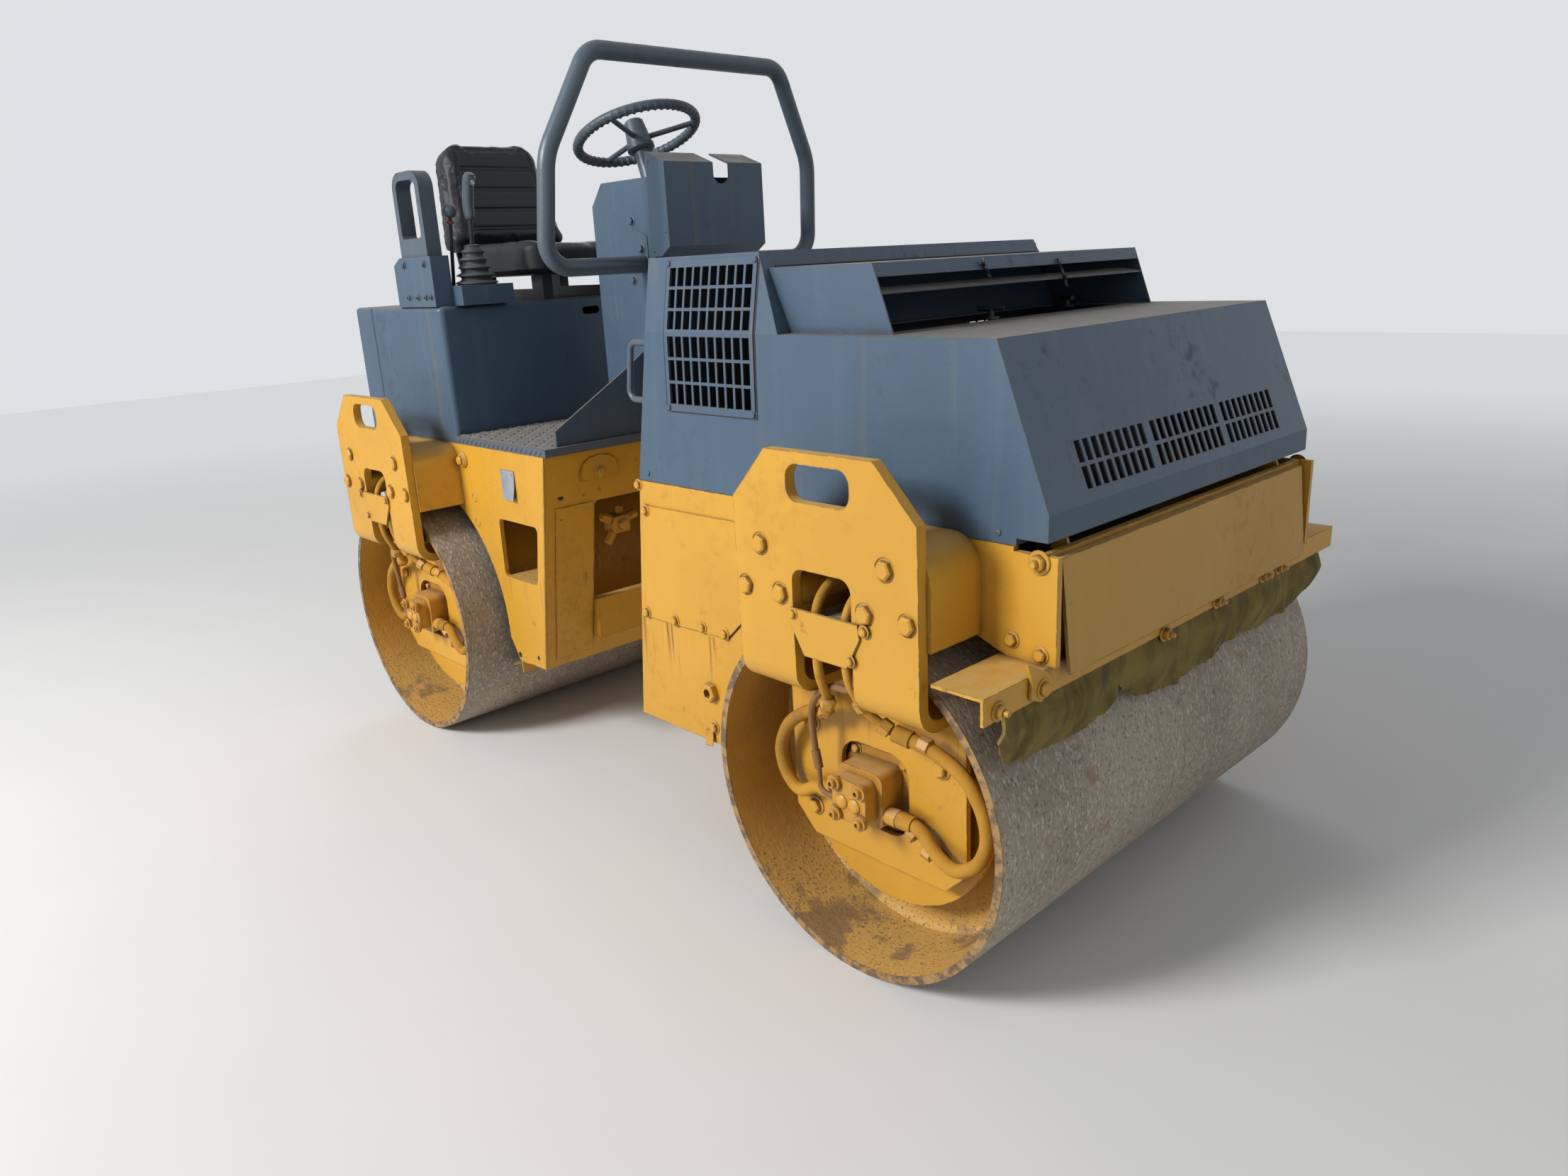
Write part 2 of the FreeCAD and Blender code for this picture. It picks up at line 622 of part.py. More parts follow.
# Hoses and pipes of one fork: each run's points are along, outboard and up from the drum's axle
port_up = -s.motor_half.value * 0.5
port_side = s.port_place.value
port_out = s.motor_half.value + s.port_reach.value + s.running_gap.value
pipe_side = s.fork_face.value - s.pipe_radius.value - s.running_gap.value
wall_side = s.frame_half.value + s.running_gap.value
LINES = [
    # points of the steel pipe, then of the rubber hose that follows it (along, outboard, up)
    ([(-22, wall_side, 425), (-24, pipe_side, 425), (-24, pipe_side, 262), (-34, 600, 205),
      (-58, 572, 166), (-82, 560, 150)],
     [(-82, 560, 150), (-128, 560, 138), (-190, 556, 96), (-222, 552, 30), (-212, 548, -24),
      (-176, port_side + 4, -58), (-130, port_side, port_up), (-port_out, port_side, port_up)]),
    ([(46, wall_side, 420), (46, pipe_side, 420), (46, pipe_side, 268), (50, 604, 215),
      (64, 586, 184), (98, 568, 160)],
     [(98, 568, 160), (170, 556, 146), (232, 550, 118), (272, 547, 62), (284, 546, 4),
      (262, 546, -52), (214, 548, -82), (168, port_side + 4, -66), (130, port_side, port_up),
      (port_out, port_side, port_up)]),
]


def route_points(route, centre, side):
    """Points of a route beside one drum, on one side of the machine."""
    return [FreeCAD.Vector(centre.value + along, side * out, s.drum_radius.value + up)
            for along, out, up in route]


def make_hoses(name, centre):
    runs = []
    for pipe_route, hose_route in LINES:
        for side in (-1, 1):
            pipe = route_points(pipe_route, centre, side)
            hose = route_points(hose_route, centre, side)
            facing = (hose[1] - hose[0]).normalize()
            collar = s.hose_radius.value + s.collar_wall.value
            union = Part.makeCylinder(collar, s.collar_length.value, hose[0], facing)
            tail_facing = (hose[-2] - hose[-1]).normalize()
            tail = Part.makeCylinder(collar, s.collar_length.value, hose[-1], tail_facing)
            runs.append(bar_along(pipe, free_bend(pipe), s.pipe_radius.value).multiFuse([
                bar_along(hose, free_bend(hose), s.hose_radius.value), union, tail]))
    keep(feature(name + "_hoses", Part.Compound([r.Solids[0] for r in runs])))
    for run in runs:
        assert len(run.Solids) == 1, "a hose line came apart"


for name, centre in MODULES:
    make_hoses(name, centre)


# Frames: a welded tub each, open at the top, arched over its drum
arch = s.drum_radius + s.arch_gap


def tub_body(label, outer, inner, front):
    """A tub from its side outlines, where front is +1 or -1 for the machine's end."""
    body = new_body(label)
    if front < 0:
        outer = [(-p[0],) + tuple(p[1:]) for p in outer]
        inner = [(-p[0],) + tuple(p[1:]) for p in inner]
    pad(body, "XZ", -s.frame_half, s.frame_half, [outer])
    pocket(body, "XZ", s.frame_wall - s.frame_half, s.frame_half - s.frame_wall, [inner])
    return body


def tub_lines(tail_top, tail_foot, top, end, end_wall):
    """Side outline of a tub for the engine end, and its hollow's outline one wall further in."""
    wall = s.frame_wall
    inner_arch = arch + wall
    outer = [(tail_top, top), (tail_foot, s.floor_level), (s.floor_end, s.floor_level),
             (axle - arch, s.floor_level + s.arch_drop), (axle - arch, s.drum_radius + arch, arch),
             (s.crown_end, s.drum_radius + arch), (s.beam_knee, s.beam_knee_level),
             (s.beam_start, s.beam_level), (end, s.beam_level)]
    inner = [(tail_top + wall, top + wall), (tail_foot + wall, s.floor_level + wall),
             (s.floor_end - wall / 2, s.floor_level + wall),
             (axle - inner_arch, s.floor_level + s.arch_drop),
             (axle - inner_arch, s.drum_radius + inner_arch, inner_arch),
             (s.crown_end, s.drum_radius + inner_arch), (s.beam_knee, s.beam_knee_level + wall),
             (s.beam_start, s.beam_level + wall), (end_wall - wall, s.beam_level + wall),
             (end_wall - wall, top + wall)]
    return outer, inner


def make_front_frame():
    outer, inner = tub_lines(s.tail_top, s.tail_foot, s.front_top, nose_wall, nose_wall)
    outer += [(nose_wall, s.notch_level), (s.nose_end - s.notch_length, s.notch_level),
              (s.nose_end - s.notch_length, s.front_top)]
    body = tub_body("front_frame", outer, inner, 1)
    half, wall = s.frame_half, s.frame_wall
    cheek = rectangle(nose_wall, s.nose_end, s.beam_level, s.notch_level)
    pad(body, "XZ", -half, wall - half, [cheek])
    pad(body, "XZ", half - wall, half, [cheek])
    pin, level, eye = hinge_place, s.hinge_level, s.hinge_ear
    ear = [(pin - s.hinge_root, s.notch_level - wall), (pin, s.notch_level - wall),
           (pin, level - s.hinge_root), (pin - s.hinge_throat / 2, level - s.hinge_throat),
           (pin + eye, level - eye * 0.3), (pin + eye, level + eye, eye * 0.9),
           (pin - eye, level + eye, eye * 0.9), (pin - s.hinge_root * 0.7, level - s.hinge_throat)]
    bore = [(pin, level, s.hinge_pin + s.pin_fit)]
    for low in (-s.hinge_side - s.hinge_plate / 2, s.hinge_side - s.hinge_plate / 2):
        pad(body, "XZ", low, low + s.hinge_plate, [ear])
        pocket(body, "XZ", low, low + s.hinge_plate, circles=bore)
    tail = ((s.tail_foot, s.floor_level), (s.tail_top, s.front_top))
    root = slant(s.ram_level, *tail) + wall / 2
    side, cheek_half = s.ram_side, s.ram_cheek_half
    for low in (s.ram_level + s.ram_cheek_gap, s.ram_level - s.ram_cheek_gap - s.ram_cheek):
        plate = [(root, side - cheek_half), (root, side + cheek_half),
                 (s.ram_front - cheek_half, side + cheek_half, cheek_half * 0.95),
                 (s.ram_front - cheek_half, side - cheek_half, cheek_half * 0.95)]
        pad(body, "XY", low, low + s.ram_cheek, [plate])
    return keep(body)


def make_rear_frame():
    outer, inner = tub_lines(s.rear_face_top, s.rear_face_foot, s.rear_top, s.rear_end,
                             s.rear_end)
    outer.append((s.rear_end, s.rear_top))
    body = tub_body("rear_frame", outer, inner, -1)
    half, wall = s.frame_half, s.frame_wall
    pocket(body, "YZ", -s.rear_face_foot - wall, -s.rear_face_top + wall,
           [rectangle(-s.gap_half, s.gap_half, s.gap_sill, s.gap_head, s.window_round)])
    bend = s.window_round
    step = [(-s.step_front, s.step_head, bend), (-s.step_back, s.step_head, bend),
            (-s.step_back_foot, s.step_sill, bend), (-s.step_front_foot, s.step_sill, bend)]
    pocket(body, "XZ", -half, wall - half, [step])
    pocket(body, "XZ", half - wall, half, [step])
    face = ((-s.rear_face_foot, s.floor_level), (-s.rear_face_top, s.rear_top))
    beam = [(-s.beam_face, s.beam_sill), (-s.beam_face, s.gap_sill),
            (slant(s.gap_sill, *face) - wall / 2, s.gap_sill),
            (slant(s.beam_sill, *face) - wall / 2, s.beam_sill)]
    pad(body, "XZ", -s.gap_half, s.gap_half, [beam])
    rise = s.ram_level - s.drum_radius
    reach = arch + wall / 2
    root = -axle + Dim(math.sqrt(reach.value ** 2 - rise.value ** 2),
                       "sqrt(%s ^ 2 - %s ^ 2)" % (reach.text, rise.text))
    side, cheek_half = s.ram_side, s.ram_cheek_half
    inner_gap = s.ram_eye_half + s.running_gap
    for low in (s.ram_level + inner_gap, s.ram_level - inner_gap - s.ram_cheek):
        plate = [(root, side - cheek_half), (root, side + cheek_half),
                 (-s.ram_back + cheek_half, side + cheek_half, cheek_half * 0.95),
                 (-s.ram_back + cheek_half, side - cheek_half, cheek_half * 0.95)]
        pad(body, "XY", low, low + s.ram_cheek, [plate])
    pin_end = inner_gap + s.ram_cheek
    pad(body, "XY", s.ram_level - pin_end, s.ram_level + pin_end,
        circles=[(-s.ram_back, side, s.ram_pin)])
    return keep(body)


make_front_frame()
make_rear_frame()


# Articulation: two lugs with the pin on the front frame, the swivel block on the rear one
def make_pivot():
    body = new_body("pivot_lugs")
    tail = ((s.tail_foot, s.floor_level), (s.tail_top, s.front_top))
    half = s.pivot_height / 2
    for low in (s.pivot_level + half, s.pivot_level - half - s.lug_plate):
        high = low + s.lug_plate
        plate = [(ZERO, low), (slant(low, *tail), low), (slant(high, *tail), high), (ZERO, high)]
        pad(body, "XZ", -s.lug_half, s.lug_half, [plate])
        pad(body, "XY", low, high, circles=[(ZERO, ZERO, s.lug_half)])
    reach = half + s.lug_plate * 1.3
    pad(body, "XY", s.pivot_level - reach, s.pivot_level + reach,
        circles=[(ZERO, ZERO, s.pivot_pin)])
    keep(body)

    body = new_body("pivot_block")
    flange = -s.beam_face + s.neck_flange_plate
    pad(body, "YZ", -s.beam_face, flange,
        [rectangle(-s.neck_flange_half, s.neck_flange_half, s.pivot_level - s.neck_radius,
                   s.pivot_level + s.neck_radius, s.pivot_pin / 2)])
    pad(body, "YZ", flange, -s.neck_start, circles=[(ZERO, s.pivot_level, s.neck_radius)])
    key = half - s.running_gap
    pad(body, "YZ", -s.neck_start, ZERO,
        [rectangle(-s.neck_key_half, s.neck_key_half, s.pivot_level - key, s.pivot_level + key)])
    pad(body, "XY", s.pivot_level - key, s.pivot_level + key,
        circles=[(ZERO, ZERO, s.pivot_barrel)])
    pocket(body, "XY", s.pivot_level - key, s.pivot_level + key,
           circles=[(ZERO, ZERO, s.pivot_pin + s.pin_fit)])
    keep(body)


make_pivot()


# Steering ram: barrel pinned in the rear frame, rod reaching the front frame's cheeks
def make_ram():
    side, level, back = s.ram_side, s.ram_level, -s.ram_back
    mouth = back + s.ram_barrel_length
    body = new_body("ram_barrel")
    pad(body, "XY", level - s.ram_eye_half, level + s.ram_eye_half,
        circles=[(back, side, s.ram_eye)])
    start = back + s.ram_cheek_half + s.ram_neck
    neck = s.ram_eye * 0.8
    pad(body, "XY", level - s.ram_eye_half, level + s.ram_eye_half,
        [rectangle(back, start, side - neck, side + neck)])
    pad(body, "YZ", start, mouth, circles=[(side, level, s.ram_barrel)])
    pad(body, "YZ", mouth - s.ram_gland_length, mouth, circles=[(side, level, s.ram_gland)])
    pocket(body, "XY", level - s.ram_barrel, level + s.ram_barrel,
           circles=[(back, side, s.ram_pin + s.pin_fit)])
    pocket(body, "YZ", start + s.ram_neck, mouth,
           circles=[(side, level, s.ram_rod + s.pin_fit)])
    keep(body)

    body = new_body("ram_rod")
    tip = s.ram_front - s.ram_eye * 0.8
    pad(body, "YZ", mouth - s.ram_barrel_length / 2, tip, circles=[(side, level, s.ram_rod)])
    pad(body, "XY", level - s.ram_eye_half, level + s.ram_eye_half,
        circles=[(s.ram_front, side, s.ram_eye)])
    reach = s.ram_cheek_gap - s.running_gap
    pad(body, "XY", level - reach, level + reach, circles=[(s.ram_front, side, s.ram_pin)])
    keep(body)


make_ram()


# Front plate and drum scrapers
def make_fascia():
    body = new_body("front_fascia")
    thick, top, foot = s.fascia_sheet, s.fascia_top, s.fascia_top - s.fascia_height
    out = s.nose_end - s.fascia_set_back
    low_out = out + s.fascia_lean
    profile = [(nose_wall, top), (out, top), (low_out, foot), (low_out - thick, foot),
               (out - thick, top - thick), (nose_wall, top - thick)]
    pad(body, "XZ", -s.fascia_half, s.fascia_half, [profile])
    keep(body)


def make_scrapers(name, facing, bar_half, belt_half):
    """Angles with rubber belts before and behind one drum; facing is +1 at the engine end."""
    bars = new_body(name + "_scraper_bars")
    belts = new_body(name + "_scraper_belts")
    thick, sheet_wall = s.belt_sheet, s.angle_sheet
    out, top = s.nose_end - s.angle_set_back, s.beam_level
    outer_angle = [(out - s.angle_flange, top), (out, top), (out, top - s.angle_drop),
                   (out - sheet_wall, top - s.angle_drop), (out - sheet_wall, top - sheet_wall),
                   (out - s.angle_flange, top - sheet_wall)]
    near, back = out - sheet_wall, out - sheet_wall - thick
    grip, fold, foot = top - sheet_wall - s.running_gap, top - s.belt_fold, top - s.belt_drop
    outer_belt = [(near, grip), (near, fold), (near - s.belt_reach, foot),
                  (back - s.belt_reach, foot + thick / 4), (back, fold), (back, grip)]
    out, top = s.floor_end, s.floor_level
    inner_angle = [(out - s.inner_angle, top), (out, top), (out, top - s.inner_angle),
                   (out - sheet_wall, top - s.inner_angle), (out - sheet_wall, top - sheet_wall),
                   (out - s.inner_angle, top - sheet_wall)]
    inner_belt = [(out, s.inner_belt_grip), (out + thick, s.inner_belt_grip),
                  (out + s.inner_belt_reach, s.inner_belt_foot + thick),
                  (out + s.inner_belt_reach - thick * 0.4, s.inner_belt_foot),
                  (out, s.inner_belt_grip - thick * 1.3)]
    for body, half, profile in ((bars, bar_half, outer_angle), (bars, s.inner_half, inner_angle),
                                (belts, belt_half, outer_belt), (belts, s.inner_half, inner_belt)):
        turned = [(across * facing, up) for across, up in profile]
        pad(body, "XZ", -half, half, [turned])
    keep(bars)
    keep(belts)


make_fascia()
make_scrapers("front", 1, s.angle_half, s.belt_half)
make_scrapers("rear", -1, s.rear_scraper_half, s.rear_scraper_half)


# Engine: one plain block over the front drum's arch
floor = s.drum_radius + arch + s.frame_wall
keep(box("engine_block", (s.engine_rear, s.engine_front), (-s.engine_half, s.engine_half),
         (floor, floor + s.engine_height)))


# Engine hood: a folded sheet shell with leaning sides, a sloped nose and its openings
HOOD_REAR = ((s.tail_top, s.hood_seat), (s.hood_rear_shoulder, s.hood_shoulder))
COWL = ((s.cowl_foot, s.hood_shoulder), (s.cowl_front, s.hood_top))
UPPER_SIDE = ((s.hood_shoulder_half, s.hood_shoulder), (s.hood_top_half, s.hood_top))
LOWER_SIDE = ((s.frame_half, s.hood_seat), (s.hood_shoulder_half, s.hood_shoulder))


def edges_where(shape, wanted):
    """Names of the edges whose two end points pass the wanted test."""
    names = []
    for number, edge in enumerate(shape.Edges, start=1):
        ends = [v.Point for v in edge.Vertexes]
        if len(ends) == 2 and wanted(ends[0], ends[1]):
            names.append("Edge%d" % number)
    return names


def soften(body, wanted, radius):
    """Rounds the edges that pass the test."""
    before = body.Tip
    made = body.newObject("PartDesign::Fillet", body.Label + "_soft")
    made.Base = (before, edges_where(before.Shape, wanted))
    made.setExpression("Radius", radius.text)
    doc.recompute()


def hood_block(label, inset):
    """The hood's closed form, moved in by an inset and open below it."""
    body = new_body(label)
    seat, lip = s.hood_seat - inset, s.hood_lip - inset
    side = [(s.tail_top + inset, seat), (s.hood_rear_shoulder + inset, s.hood_shoulder),
            (s.hood_rear_shoulder + inset, s.hood_top - inset),
            (s.cowl_front - inset * 0.7, s.hood_top - inset),
            (s.cowl_foot - inset * 0.7, s.hood_shoulder - inset),
            (deck_end - inset * 0.7, s.hood_shoulder - inset),
            (nose_front - inset, s.nose_low - inset * 0.2), (nose_front - inset, lip),
            (lip_start - inset, lip), (lip_start - inset, seat)]
    half = s.frame_half - inset
    pad(body, "XZ", -half, half, [side])
    beyond = half + s.sheet_wall
    for hand in (-1, 1):
        lean = [(half * hand, seat), ((s.hood_shoulder_half - inset) * hand, s.hood_shoulder),
                ((s.hood_top_half - inset) * hand, s.hood_top),
                ((s.hood_top_half - inset) * hand, s.hood_top + s.sheet_wall),
                (beyond * hand, s.hood_top + s.sheet_wall), (beyond * hand, seat)]
        pocket(body, "YZ", s.tail_top, nose_front, [lean])
    return body


# Nose vents: place of each group across the nose, and how many slits it has
VENT_GROUPS = [(-1, 9), (0, 10), (1, 9)]


def make_hood():
    hollow = hood_block("hood_hollow", s.sheet_wall)
    body = hood_block("hood_shell", ZERO)
    doc.recompute()
    shell = body.newObject("PartDesign::Boolean", "hood_sheet")
    shell.Type = "Cut"
    shell.setObjects([hollow])
    doc.recompute()
    window = rectangle(s.grille_rear + s.grille_side, s.grille_front - s.grille_side,
                       s.grille_foot + s.grille_margin, s.grille_top - s.grille_margin)
    pocket(body, "XZ", -s.frame_half, -s.hood_top_half + s.frame_wall, [window])
    pocket(body, "XZ", s.hood_top_half - s.frame_wall, s.frame_half, [window])
    hole = rectangle(s.cowl_foot + s.frame_wall * 2, s.louvre_front_top, -s.deck_hole_half,
                     s.deck_hole_half)
    pocket(body, "XY", s.hood_shoulder - s.sheet_wall * 2, s.hood_shoulder + s.sheet_wall, [hole])
    row_step = s.vent_height + s.vent_row_gap
    for place_along, slit_count in VENT_GROUPS:
        first = s.vent_group_pitch * place_along - s.vent_pitch * (slit_count - 1) / 2
        slits = [rectangle(first - s.vent_slit / 2, first + s.vent_slit / 2,
                           s.vent_top - row_step * row - s.vent_height,
                           s.vent_top - row_step * row) for row in (0, 1)]
        column = pocket(body, "YZ", deck_end, nose_front + s.sheet_wall, slits)
        doc.recompute()
        repeat(body, column, "H_Axis", s.vent_pitch, slit_count)
        doc.recompute()
    return keep(body)


make_hood()


def make_grilles():
    """Screwed-on grilles, bent with the side: rows of cells below the bend and above it."""
    body = new_body("grille")
    foot, top, sheet_out = s.grille_foot, s.grille_top, s.grille_sheet
    line = [(-slant(foot, *LOWER_SIDE), foot), (-s.hood_shoulder_half, s.hood_shoulder),
            (-slant(top, *UPPER_SIDE), top)]
    strip = line + [(across - sheet_out, up) for across, up in reversed(line)]
    pad(body, "YZ", s.grille_rear, s.grille_front, [strip])
    outer = -s.frame_half - sheet_out
    first, last = s.grille_rear + s.grille_side, s.grille_front - s.grille_side
    width = (last - first + s.grille_bar) / s.grille_columns
    half_bar = s.grille_middle_bar / 2
    halves = [(foot + s.grille_margin, s.hood_shoulder - half_bar),
              (s.hood_shoulder + half_bar, top - s.grille_margin)]
    cells = []
    for low, high in halves:
        height = (high - low + s.grille_bar) / s.grille_rows
        for row in range(int(s.grille_rows.value)):
            sill = low + height * row
            cells.append(rectangle(first, first + width - s.grille_bar, sill,
                                   sill + height - s.grille_bar))
    column = pocket(body, "XZ", outer, s.frame_wall - s.hood_top_half, cells)
    doc.recompute()
    repeat(body, column, "H_Axis", width, s.grille_columns)
    doc.recompute()
    keep(group("hood_grilles", [body, mirror("left_grille", body, LEFT_RIGHT)]))


make_grilles()


def make_louvre_box():
    body = new_body("louvre_box")
    wall, top, foot = s.sheet_wall, s.louvre_top, s.hood_shoulder
    face = ((s.louvre_front_foot, foot), (s.louvre_front_top, top))
    back = COWL
    outer = [(slant(foot, *back), foot), (slant(foot, *face), foot), (slant(top, *face), top),
             (slant(top, *back), top)]
    pad(body, "XZ", -s.louvre_half, s.louvre_half, [outer])
    ahead = s.louvre_front_foot + wall
    inner = [(slant(foot, *back) + wall, foot), (ahead, foot), (ahead, top - wall),
             (slant(top - wall, *back) + wall, top - wall)]
    pocket(body, "XZ", wall - s.louvre_half, s.louvre_half - wall, [inner])
    low = top - s.louvre_lip
    lip = [(slant(low, *face) - wall, low), (slant(low, *face), low), (slant(top, *face), top),
           (slant(top, *face) - wall, top)]
    level, rise = s.louvre_slat_level, s.louvre_slat / 5
    slat_edge = slant(level, *face)
    slat = [(slat_edge - s.louvre_slat, level + rise - wall), (slat_edge, level - wall),
            (slat_edge, level), (slat_edge - s.louvre_slat, level + rise)]
    pad(body, "XZ", -s.louvre_half, s.louvre_half, [lip, slat])
    keep(body)


make_louvre_box()


def make_handle():
    stand = s.running_gap
    points = []
    for level in (s.handle_top, s.handle_foot):
        wall_at = slant(level - s.handle_rod, *HOOD_REAR)
        points.append([vector(wall_at - stand, -s.handle_side, level),
                       vector(wall_at - s.handle_reach, -s.handle_side, level)])
    (top, top_bend), (foot, foot_bend) = points
    bend = s.handle_rod.value * 3
    keep(feature("hood_handle", bar_along([top, top_bend, foot_bend, foot], [bend, bend],
                                          s.handle_rod.value)))


make_handle()


def make_hinges():
    body = new_body("hood_hinges")
    inside = nose_front - s.sheet_wall
    plate = [(hinge_place - s.hinge_ear, s.hood_lip + 2), (inside, s.hood_lip + 2),
             (inside, s.nose_low - s.hinge_pin),
             (hinge_place - s.hinge_ear, s.hinge_level + s.hinge_ear * 2)]
    pin = [(hinge_place, s.hinge_level, s.hinge_pin)]
    for hand in (-1, 1):
        spots = [(s.hinge_side + s.hinge_plate) * hand, (s.hinge_side + s.hinge_plate * 2) * hand]
        near, far = min(spots, key=lambda d: d.value), max(spots, key=lambda d: d.value)
        pad(body, "XZ", near, far, [plate])
        spots = [(s.hinge_side - s.hinge_plate) * hand, (s.hinge_side + s.hinge_plate) * hand]
        near, far = min(spots, key=lambda d: d.value), max(spots, key=lambda d: d.value)
        pad(body, "XZ", near, far, circles=pin)
    keep(body)


make_hinges()


# Driver's place: deck, kick plates, console and its front cover
def make_deck():
    body = new_body("deck_plate")
    low, high = s.rear_top, s.rear_top + s.deck_skirt
    half, skin = s.frame_half, s.deck_sheet
    pad(body, "XY", low, high, [rectangle(-s.deck_rear, -s.deck_front, -half, half)])
    pocket(body, "XY", low, high - skin,
           [rectangle(skin - s.deck_rear, -s.deck_front - skin, skin - half, half - skin)])
    keep(body)

    body = new_body("kick_plates")
    front = -s.rear_face_top
    for hand in (-1, 1):
        sheet_line = [(s.kick_outer * hand, high), (s.kick_outer * hand, high + s.kick_heel),
                      (s.kick_knee * hand, high + s.kick_knee_rise),
                      (s.console_half * hand, high + s.kick_peak_rise),
                      (s.console_half * hand, high)]
        pad(body, "YZ", front - s.kick_sheet, front, [sheet_line])
    keep(body)


def make_console():
    body = new_body("console")
    skin, deck = s.sheet_wall, s.rear_top + s.deck_skirt
    front = -s.cover_box_rear
    outline = [(-s.console_rear, deck), (-s.console_rear, s.console_rear_top),
               (-s.console_slope, s.console_top), (front, s.console_top),
               (front, cover_foot - s.cover_sill),
               (-s.deck_front, deck + s.kick_peak_rise), (-s.deck_front, deck)]
    pad(body, "XZ", -s.console_half, s.console_half, [outline])
    inner = [(skin - s.console_rear, deck - skin), (skin - s.console_rear, s.console_rear_top - skin),
             (-s.console_slope + skin / 2, s.console_top - skin), (front - skin, s.console_top - skin),
             (front - skin, cover_foot - s.cover_sill),
             (-s.deck_front - skin, deck + s.kick_peak_rise), (-s.deck_front - skin, deck - skin)]
    pocket(body, "XZ", skin - s.console_half, s.console_half - skin, [inner])
    keep(body)

    body = new_body("console_cover")
    half, foot, top = s.cover_box_half, cover_foot, s.console_top + s.cover_rise
    face, fold = -s.cover_box_front, s.cover_fold_foot
    side = [(front, foot), (face - s.cover_fold_back, foot), (face, foot + fold),
            (face, top - s.cover_fold_rise), (front, top)]
    hollow = [(front, foot + skin), (face - s.cover_fold_back, foot + skin),
              (face - skin, foot + fold + skin / 2), (face - skin, top - s.cover_fold_rise - skin),
              (front, top - skin * 1.3)]
    pad(body, "XZ", -half, half, [side])
    pocket(body, "XZ", skin - half, half - skin, [hollow])
    left, right = s.notch_side - s.notch_width / 2, s.notch_side + s.notch_width / 2
    low = top - s.notch_depth
    pocket(body, "YZ", front, face, [[(left, low, s.notch_width * 0.45),
                                      (right, low, s.notch_width * 0.45),
                                      (right, top + skin), (left, top + skin)]])
    keep(body)


make_deck()
make_console()


def make_rail():
    """The handrail: one bent tube in a plane that leans forward as it rises."""
    lean = (s.rail_foot_back - s.rail_top_back) / (s.rail_top_level - s.rail_foot_level)
    half = [(s.console_half + s.running_gap, s.rail_foot_level),
            (s.rail_low_out, s.rail_foot_level), (s.rail_knee_out, s.rail_knee_level),
            (s.rail_top_out, s.rail_top_level)]
    spots = [(-out, level) for out, level in half] + list(reversed(half))
    points = [vector(lean * (level - s.rail_foot_level) - s.rail_foot_back, out, level)
              for out, level in spots]
    bend = s.rail_bend.value
    radii = [bend, bend * 2.5, bend, bend, bend * 2.5, bend]
    keep(feature("handrail", bar_along(points, radii, s.rail_radius.value)))


make_rail()


# Steering column and wheel on one leaning axis
def make_steering():
    hub = vector(-s.wheel_back, ZERO, s.wheel_level)
    angle = s.column_angle
    axis = vector(-sine(angle), ZERO, cosine(angle))
    lower = hub - axis * (s.wheel_hub_height.value + s.running_gap.value)
    reach = (lower.z - s.column_foot_level.value) / axis.z
    foot = lower - axis * reach
    tube = Part.makeCylinder(s.column_radius.value, reach, foot, axis)
    collar = Part.makeCone(s.column_radius.value * 1.9, s.column_radius.value * 1.3,
                           s.column_radius.value * 1.4, foot, axis)
    width = s.console_half.value * 2
    below = Part.makeBox(width, width, width, vector(-s.wheel_back - width / 2, -width / 2,
                                                     s.console_top - width))
    keep(feature("steering_column", tube.fuse(collar).cut(below)))
    ring_radius = s.wheel_radius.value - s.wheel_grip.value
    ring = Part.makeTorus(ring_radius, s.wheel_grip.value, hub, axis)
    hub_shape = Part.makeCylinder(s.wheel_hub.value, s.wheel_hub_height.value + 6,
                                  hub - axis * s.wheel_hub_height.value, axis)
    across = FreeCAD.Vector(0, 1, 0)
    pieces = [hub_shape]
    drop = axis * (s.wheel_dish.value / 2)
    for number in range(3):
        turn = FreeCAD.Rotation(axis, 120 * number + 90)
        tip = hub + turn.multVec(across) * ring_radius
        start = hub - drop
        pieces.append(Part.makeCylinder(s.wheel_spoke.value, (tip - start).Length, start,
                                        tip - start))
    keep(feature("steering_wheel", ring.multiFuse(pieces)))


make_steering()


# Tank under the seat, lever console, grab loop and levers
def make_tank():
    body = new_body("tank")
    half, skin, low, corner = s.frame_half, s.tank_sheet, s.rear_top, s.tank_corner
    pad(body, "XY", low, s.tank_top,
        [rectangle(-s.tank_rear, -s.tank_front, -half, half, corner)])
    doc.recompute()
    top = s.tank_top.value
    soften(body, lambda a, b: abs(a.z - top) < 0.1 and abs(b.z - top) < 0.1, s.tank_edge)
    pocket(body, "XY", low, s.tank_top - skin * 1.6,
           [rectangle(skin - s.tank_rear, -s.tank_front - skin, skin - half, half - skin,
                      corner - skin)])
    slot = rectangle(-s.tank_slot_length / 2, s.tank_slot_length / 2,
                     s.tank_slot_level - s.tank_slot_height / 2,
                     s.tank_slot_level + s.tank_slot_height / 2, s.tank_slot_height * 0.45)
    pocket(body, "YZ", -s.tank_front - skin, -s.tank_front, [slot])
    keep(body)


